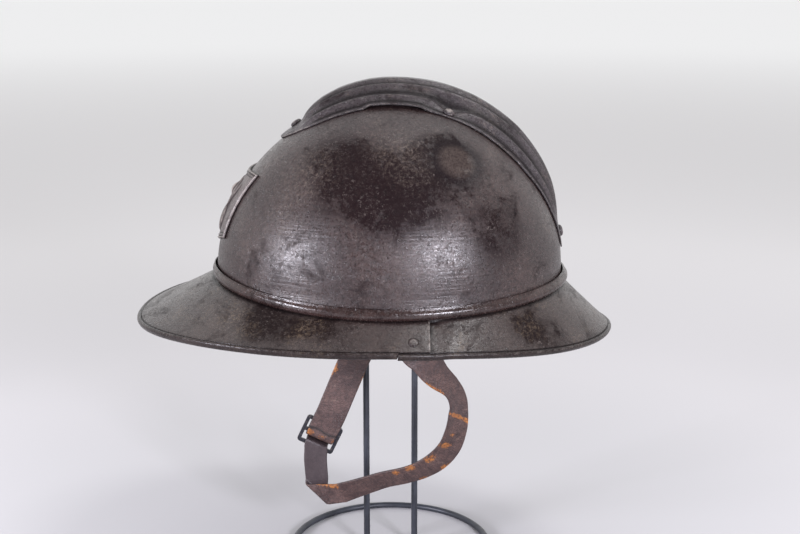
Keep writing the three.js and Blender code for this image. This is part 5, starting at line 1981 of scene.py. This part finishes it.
    def buckle(self) -> bpy.types.Object:
        """Flat frame with a middle bar, its two openings and its worn corners.

        Returns:
            The buckle.
        """
        w, h, bar = SPACE.buckle_half_width, SPACE.buckle_half_tall, SPACE.buckle_bar
        turn = np.radians(np.linspace(0, 90, 7))
        radius = 2.0
        corner = radius * np.stack([np.cos(turn), np.sin(turn)], -1)
        quarter = np.array([w - radius, h - radius]) + corner
        flip = [(1, 1), (-1, 1), (-1, -1), (1, -1)]
        outer = np.concatenate([(quarter * f)[::(1 if f[0] * f[1] > 0 else -1)] for f in flip])
        holes = []
        for low, high in ((-h + bar, -bar / 2), (bar / 2, h - bar)):
            holes.append(np.array([(-w + bar, low), (w - bar, low), (w - bar, high), (-w + bar, high)]))
        middle, up, out, _ = SPACE.frame
        right = np.cross(up, out)
        plate = plate_mesh("frame_buckle", outer, np.array(holes), SPACE.buckle_plate, middle, right, up)
        soften(plate, 0.6, 3)
        return plate

    def build(self) -> None:
        """Makes and dresses both straps, the buckle and the lugs."""
        dress(self.chin_strap(), Finish.LEATHER, "brown_leather", "chin_strap")
        dress(self.upper_strap(), Finish.LEATHER, "brown_leather", "upper_strap")
        dress(self.buckle(), Finish.STEEL, "dark_steel", "buckle")
        Lug(1.0).build("left_strap_lug", "strap_lug_left")
        Lug(-1.0).build("right_strap_lug", "strap_lug_right")


# Stand

@dataclass
class Stand:
    """Ring on the ground, bar across it, two posts, and a hoop under the crown."""

    wire: float = 4.0
    ring_radius: float = 63.5
    spacing: float = 31.0
    hoop_angle: float = 27.0
    room: float = 0.95

    def hoop_at(self, bearing: np.ndarray) -> np.ndarray:
        """Middle of the hoop's wire, set in from the dome by the sheet, its room and half a wire.

        Args:
            bearing: angle from the front, in radians.

        Returns:
            Points of its middle line.
        """
        rise = np.radians(self.hoop_angle)
        place = DOME.face(bearing, rise + 0 * bearing)
        beside = DOME.face(bearing + 0.01, rise + 0 * bearing) - place
        down = DOME.face(bearing, rise + np.radians(0.5) + 0 * bearing) - place
        inward = unit(np.cross(beside, down))
        inward *= np.where(inward[..., 2] > 0, -1.0, 1.0)[..., None]
        return place + inward * (PLATE + self.room + self.wire / 2)

    def build(self) -> None:
        """Joins the wires into one piece."""
        turn = np.linspace(0, 2 * np.pi, 160, endpoint=False)
        radius = self.wire / 2
        ring = np.stack([np.sin(turn), -np.cos(turn), 0 * turn], -1) * self.ring_radius
        ring[:, 2] = radius
        hoop = self.hoop_at(turn)
        hoop[:, 2] = self.hoop_at(np.array([np.pi / 2]))[0, 2]
        top = hoop[0, 2]
        wires = [tube(ring, radius, 20, True), tube(hoop, radius, 16, True)]
        reach = np.linspace(-self.ring_radius, self.ring_radius, 30)
        wires.append(tube(np.stack([0 * reach, reach, 0 * reach + radius], -1), radius, 16, False))
        run = np.linspace(hoop[0, 1], hoop[80, 1], 20)
        wires.append(tube(np.stack([0 * run, run, 0 * run + top], -1), radius, 16, False))
        for side in (-1, 1):
            height = np.linspace(radius, top, 60)
            post = np.stack([0 * height, 0 * height + side * self.spacing / 2, height], -1)
            wires.append(tube(post, radius, 20, False))
        points, faces = join_bodies(wires)
        dress(put_mesh("wire_stand", points, faces, 50.0), Finish.WIRE, "black_wire", "stand")


# Rivets of the brim

@dataclass
class BrimRivets:
    """One rivet through the lap at each side."""

    share: float = 0.6

    def build(self) -> None:
        """Seats both heads on the visor's tabs."""
        at = BRIM.bearing_at((LAP_FRONT + LAP_REAR) / 2, np.array(self.share))
        for name, side in (("left", 1.0), ("right", -1.0)):
            bearing = side * at
            place = BRIM.face(bearing, np.array(self.share))
            out = BRIM.normal(bearing, np.array(self.share))
            Rivet(3.1, 0.9, 0.5).build(f"brim_{name}_rivet", place, out, f"brim_rivet_{name}", Finish.BRIM)


# Studio

def looking(place: Vector, target: Vector) -> Matrix:
    """Place and turn of a lamp or a camera that looks from one place to another."""
    return Matrix.Translation(place) @ (target - place).to_track_quat("-Z", "Y").to_matrix().to_4x4()


@dataclass
class Studio:
    """Pale floor, soft lamps and the camera at the photograph's angle."""

    distance: float = 841.0
    elevation: float = 12.7
    lens: float = 60.3
    lit: tuple[float, float, float] = (0.0, 0.01, 0.2)

    def floor(self) -> None:
        """Wide pale floor whose colour has painted shade near the stand and a painted bright backdrop far
        behind it.
        """
        size = 60.0
        corners = [(-size, -size, 0), (size, -size, 0), (size, size, 0), (-size, size, 0)]
        mesh = bpy.data.meshes.new("studio_floor")
        mesh.from_pydata(corners, [], [(0, 1, 2, 3)])
        floor = bpy.data.objects.new("studio_floor", mesh)
        bpy.context.scene.collection.objects.link(floor)
        r = Recipe("studio_paper_painted_light")
        away = r.add("ShaderNodeVectorMath", {"operation": "LENGTH"}, _0=r.place).outputs["Value"]
        # Painted light: darker near the stand, lighter far off where it stands for the brighter backdrop.
        color = r.blend(r.ramp(away, 0.2, 0.5), linear("#b7b6b8"), linear("#c6c4c6"))
        color = r.blend(r.ramp(away, 0.45, 1.1), color, linear("#d8d6d7"))
        color = r.blend(r.ramp(away, 1.2, 6.0), color, linear("#fcfcfc"))
        mesh.materials.append(r.finish(color, 0.9))

    def lamp(self, name: str, place: tuple[float, float, float], size: tuple[float, float], power: float,
             color: str = "#ffffff") -> None:
        """Soft rectangular lamp that looks at the helmet.

        Args:
            name: the lamp's name.
            place: where it stands, in metres.
            size: its two sides.
            power: its watts.
            color: its tint.
        """
        light = bpy.data.lights.new(name, "AREA")
        light.shape = "RECTANGLE"
        light.size, light.size_y = size
        light.energy = power
        light.color = linear(color)[:3]
        lamp = bpy.data.objects.new(name, light)
        lamp.matrix_world = looking(Vector(place), Vector(self.lit))
        bpy.context.scene.collection.objects.link(lamp)

    def build(self) -> None:
        """Sets the world, the lamps, the floor and the camera."""
        world = bpy.data.worlds.new("studio")
        world.use_nodes = True
        nodes, links = world.node_tree.nodes, world.node_tree.links
        back = nodes["Background"]
        back.inputs["Color"].default_value = linear("#f8f8f9")
        parts = nodes.new("ShaderNodeSeparateXYZ")
        fade = nodes.new("ShaderNodeMapRange")
        for socket, value in zip(list(fade.inputs)[1:5], (-0.2, 0.9, 1.2, 0.24)):
            socket.default_value = value
        links.new(nodes.new("ShaderNodeTexCoord").outputs["Generated"], parts.inputs[0])
        links.new(parts.outputs["X"], fade.inputs[0])
        links.new(fade.outputs[0], back.inputs["Strength"])
        bpy.context.scene.world = world
        bpy.context.scene.view_settings.view_transform = "Standard"
        self.floor()
        self.lamp("left_window", (0.565, -0.845, 0.33), (0.22, 0.17), 11.2, "#f5f3ff")
        self.lamp("right_window", (0.94, 0.52, 0.41), (0.22, 0.17), 13.4, "#f5f3ff")
        self.lamp("ceiling_light", (0.15, 0.5, 1.38), (0.3, 0.45), 5.4)
        aim = Vector((0.0, (DOME_MIDDLE_Y + 6.16) * MM, 0.188))
        lift = np.radians(self.elevation)
        place = aim + Vector((np.cos(lift), 0.0, np.sin(lift))) * self.distance * MM
        camera = bpy.data.cameras.new("photo_camera")
        camera.lens = self.lens
        camera.sensor_width = 36.0
        camera.clip_start = 0.01
        holder = bpy.data.objects.new("photo_camera", camera)
        holder.matrix_world = looking(place, aim)
        bpy.context.scene.collection.objects.link(holder)
        bpy.context.scene.camera = holder


def main() -> None:
    """Builds every sub-assembly in order."""
    logging.basicConfig(level=logging.INFO, format="%(name)s %(message)s")
    Dome().build()
    Brim().build()
    Crest().build()
    Badge().build()
    BrimRivets().build()
    Straps().build()
    Stand().build()
    Studio().build()


if __name__ == "__main__":
    main()
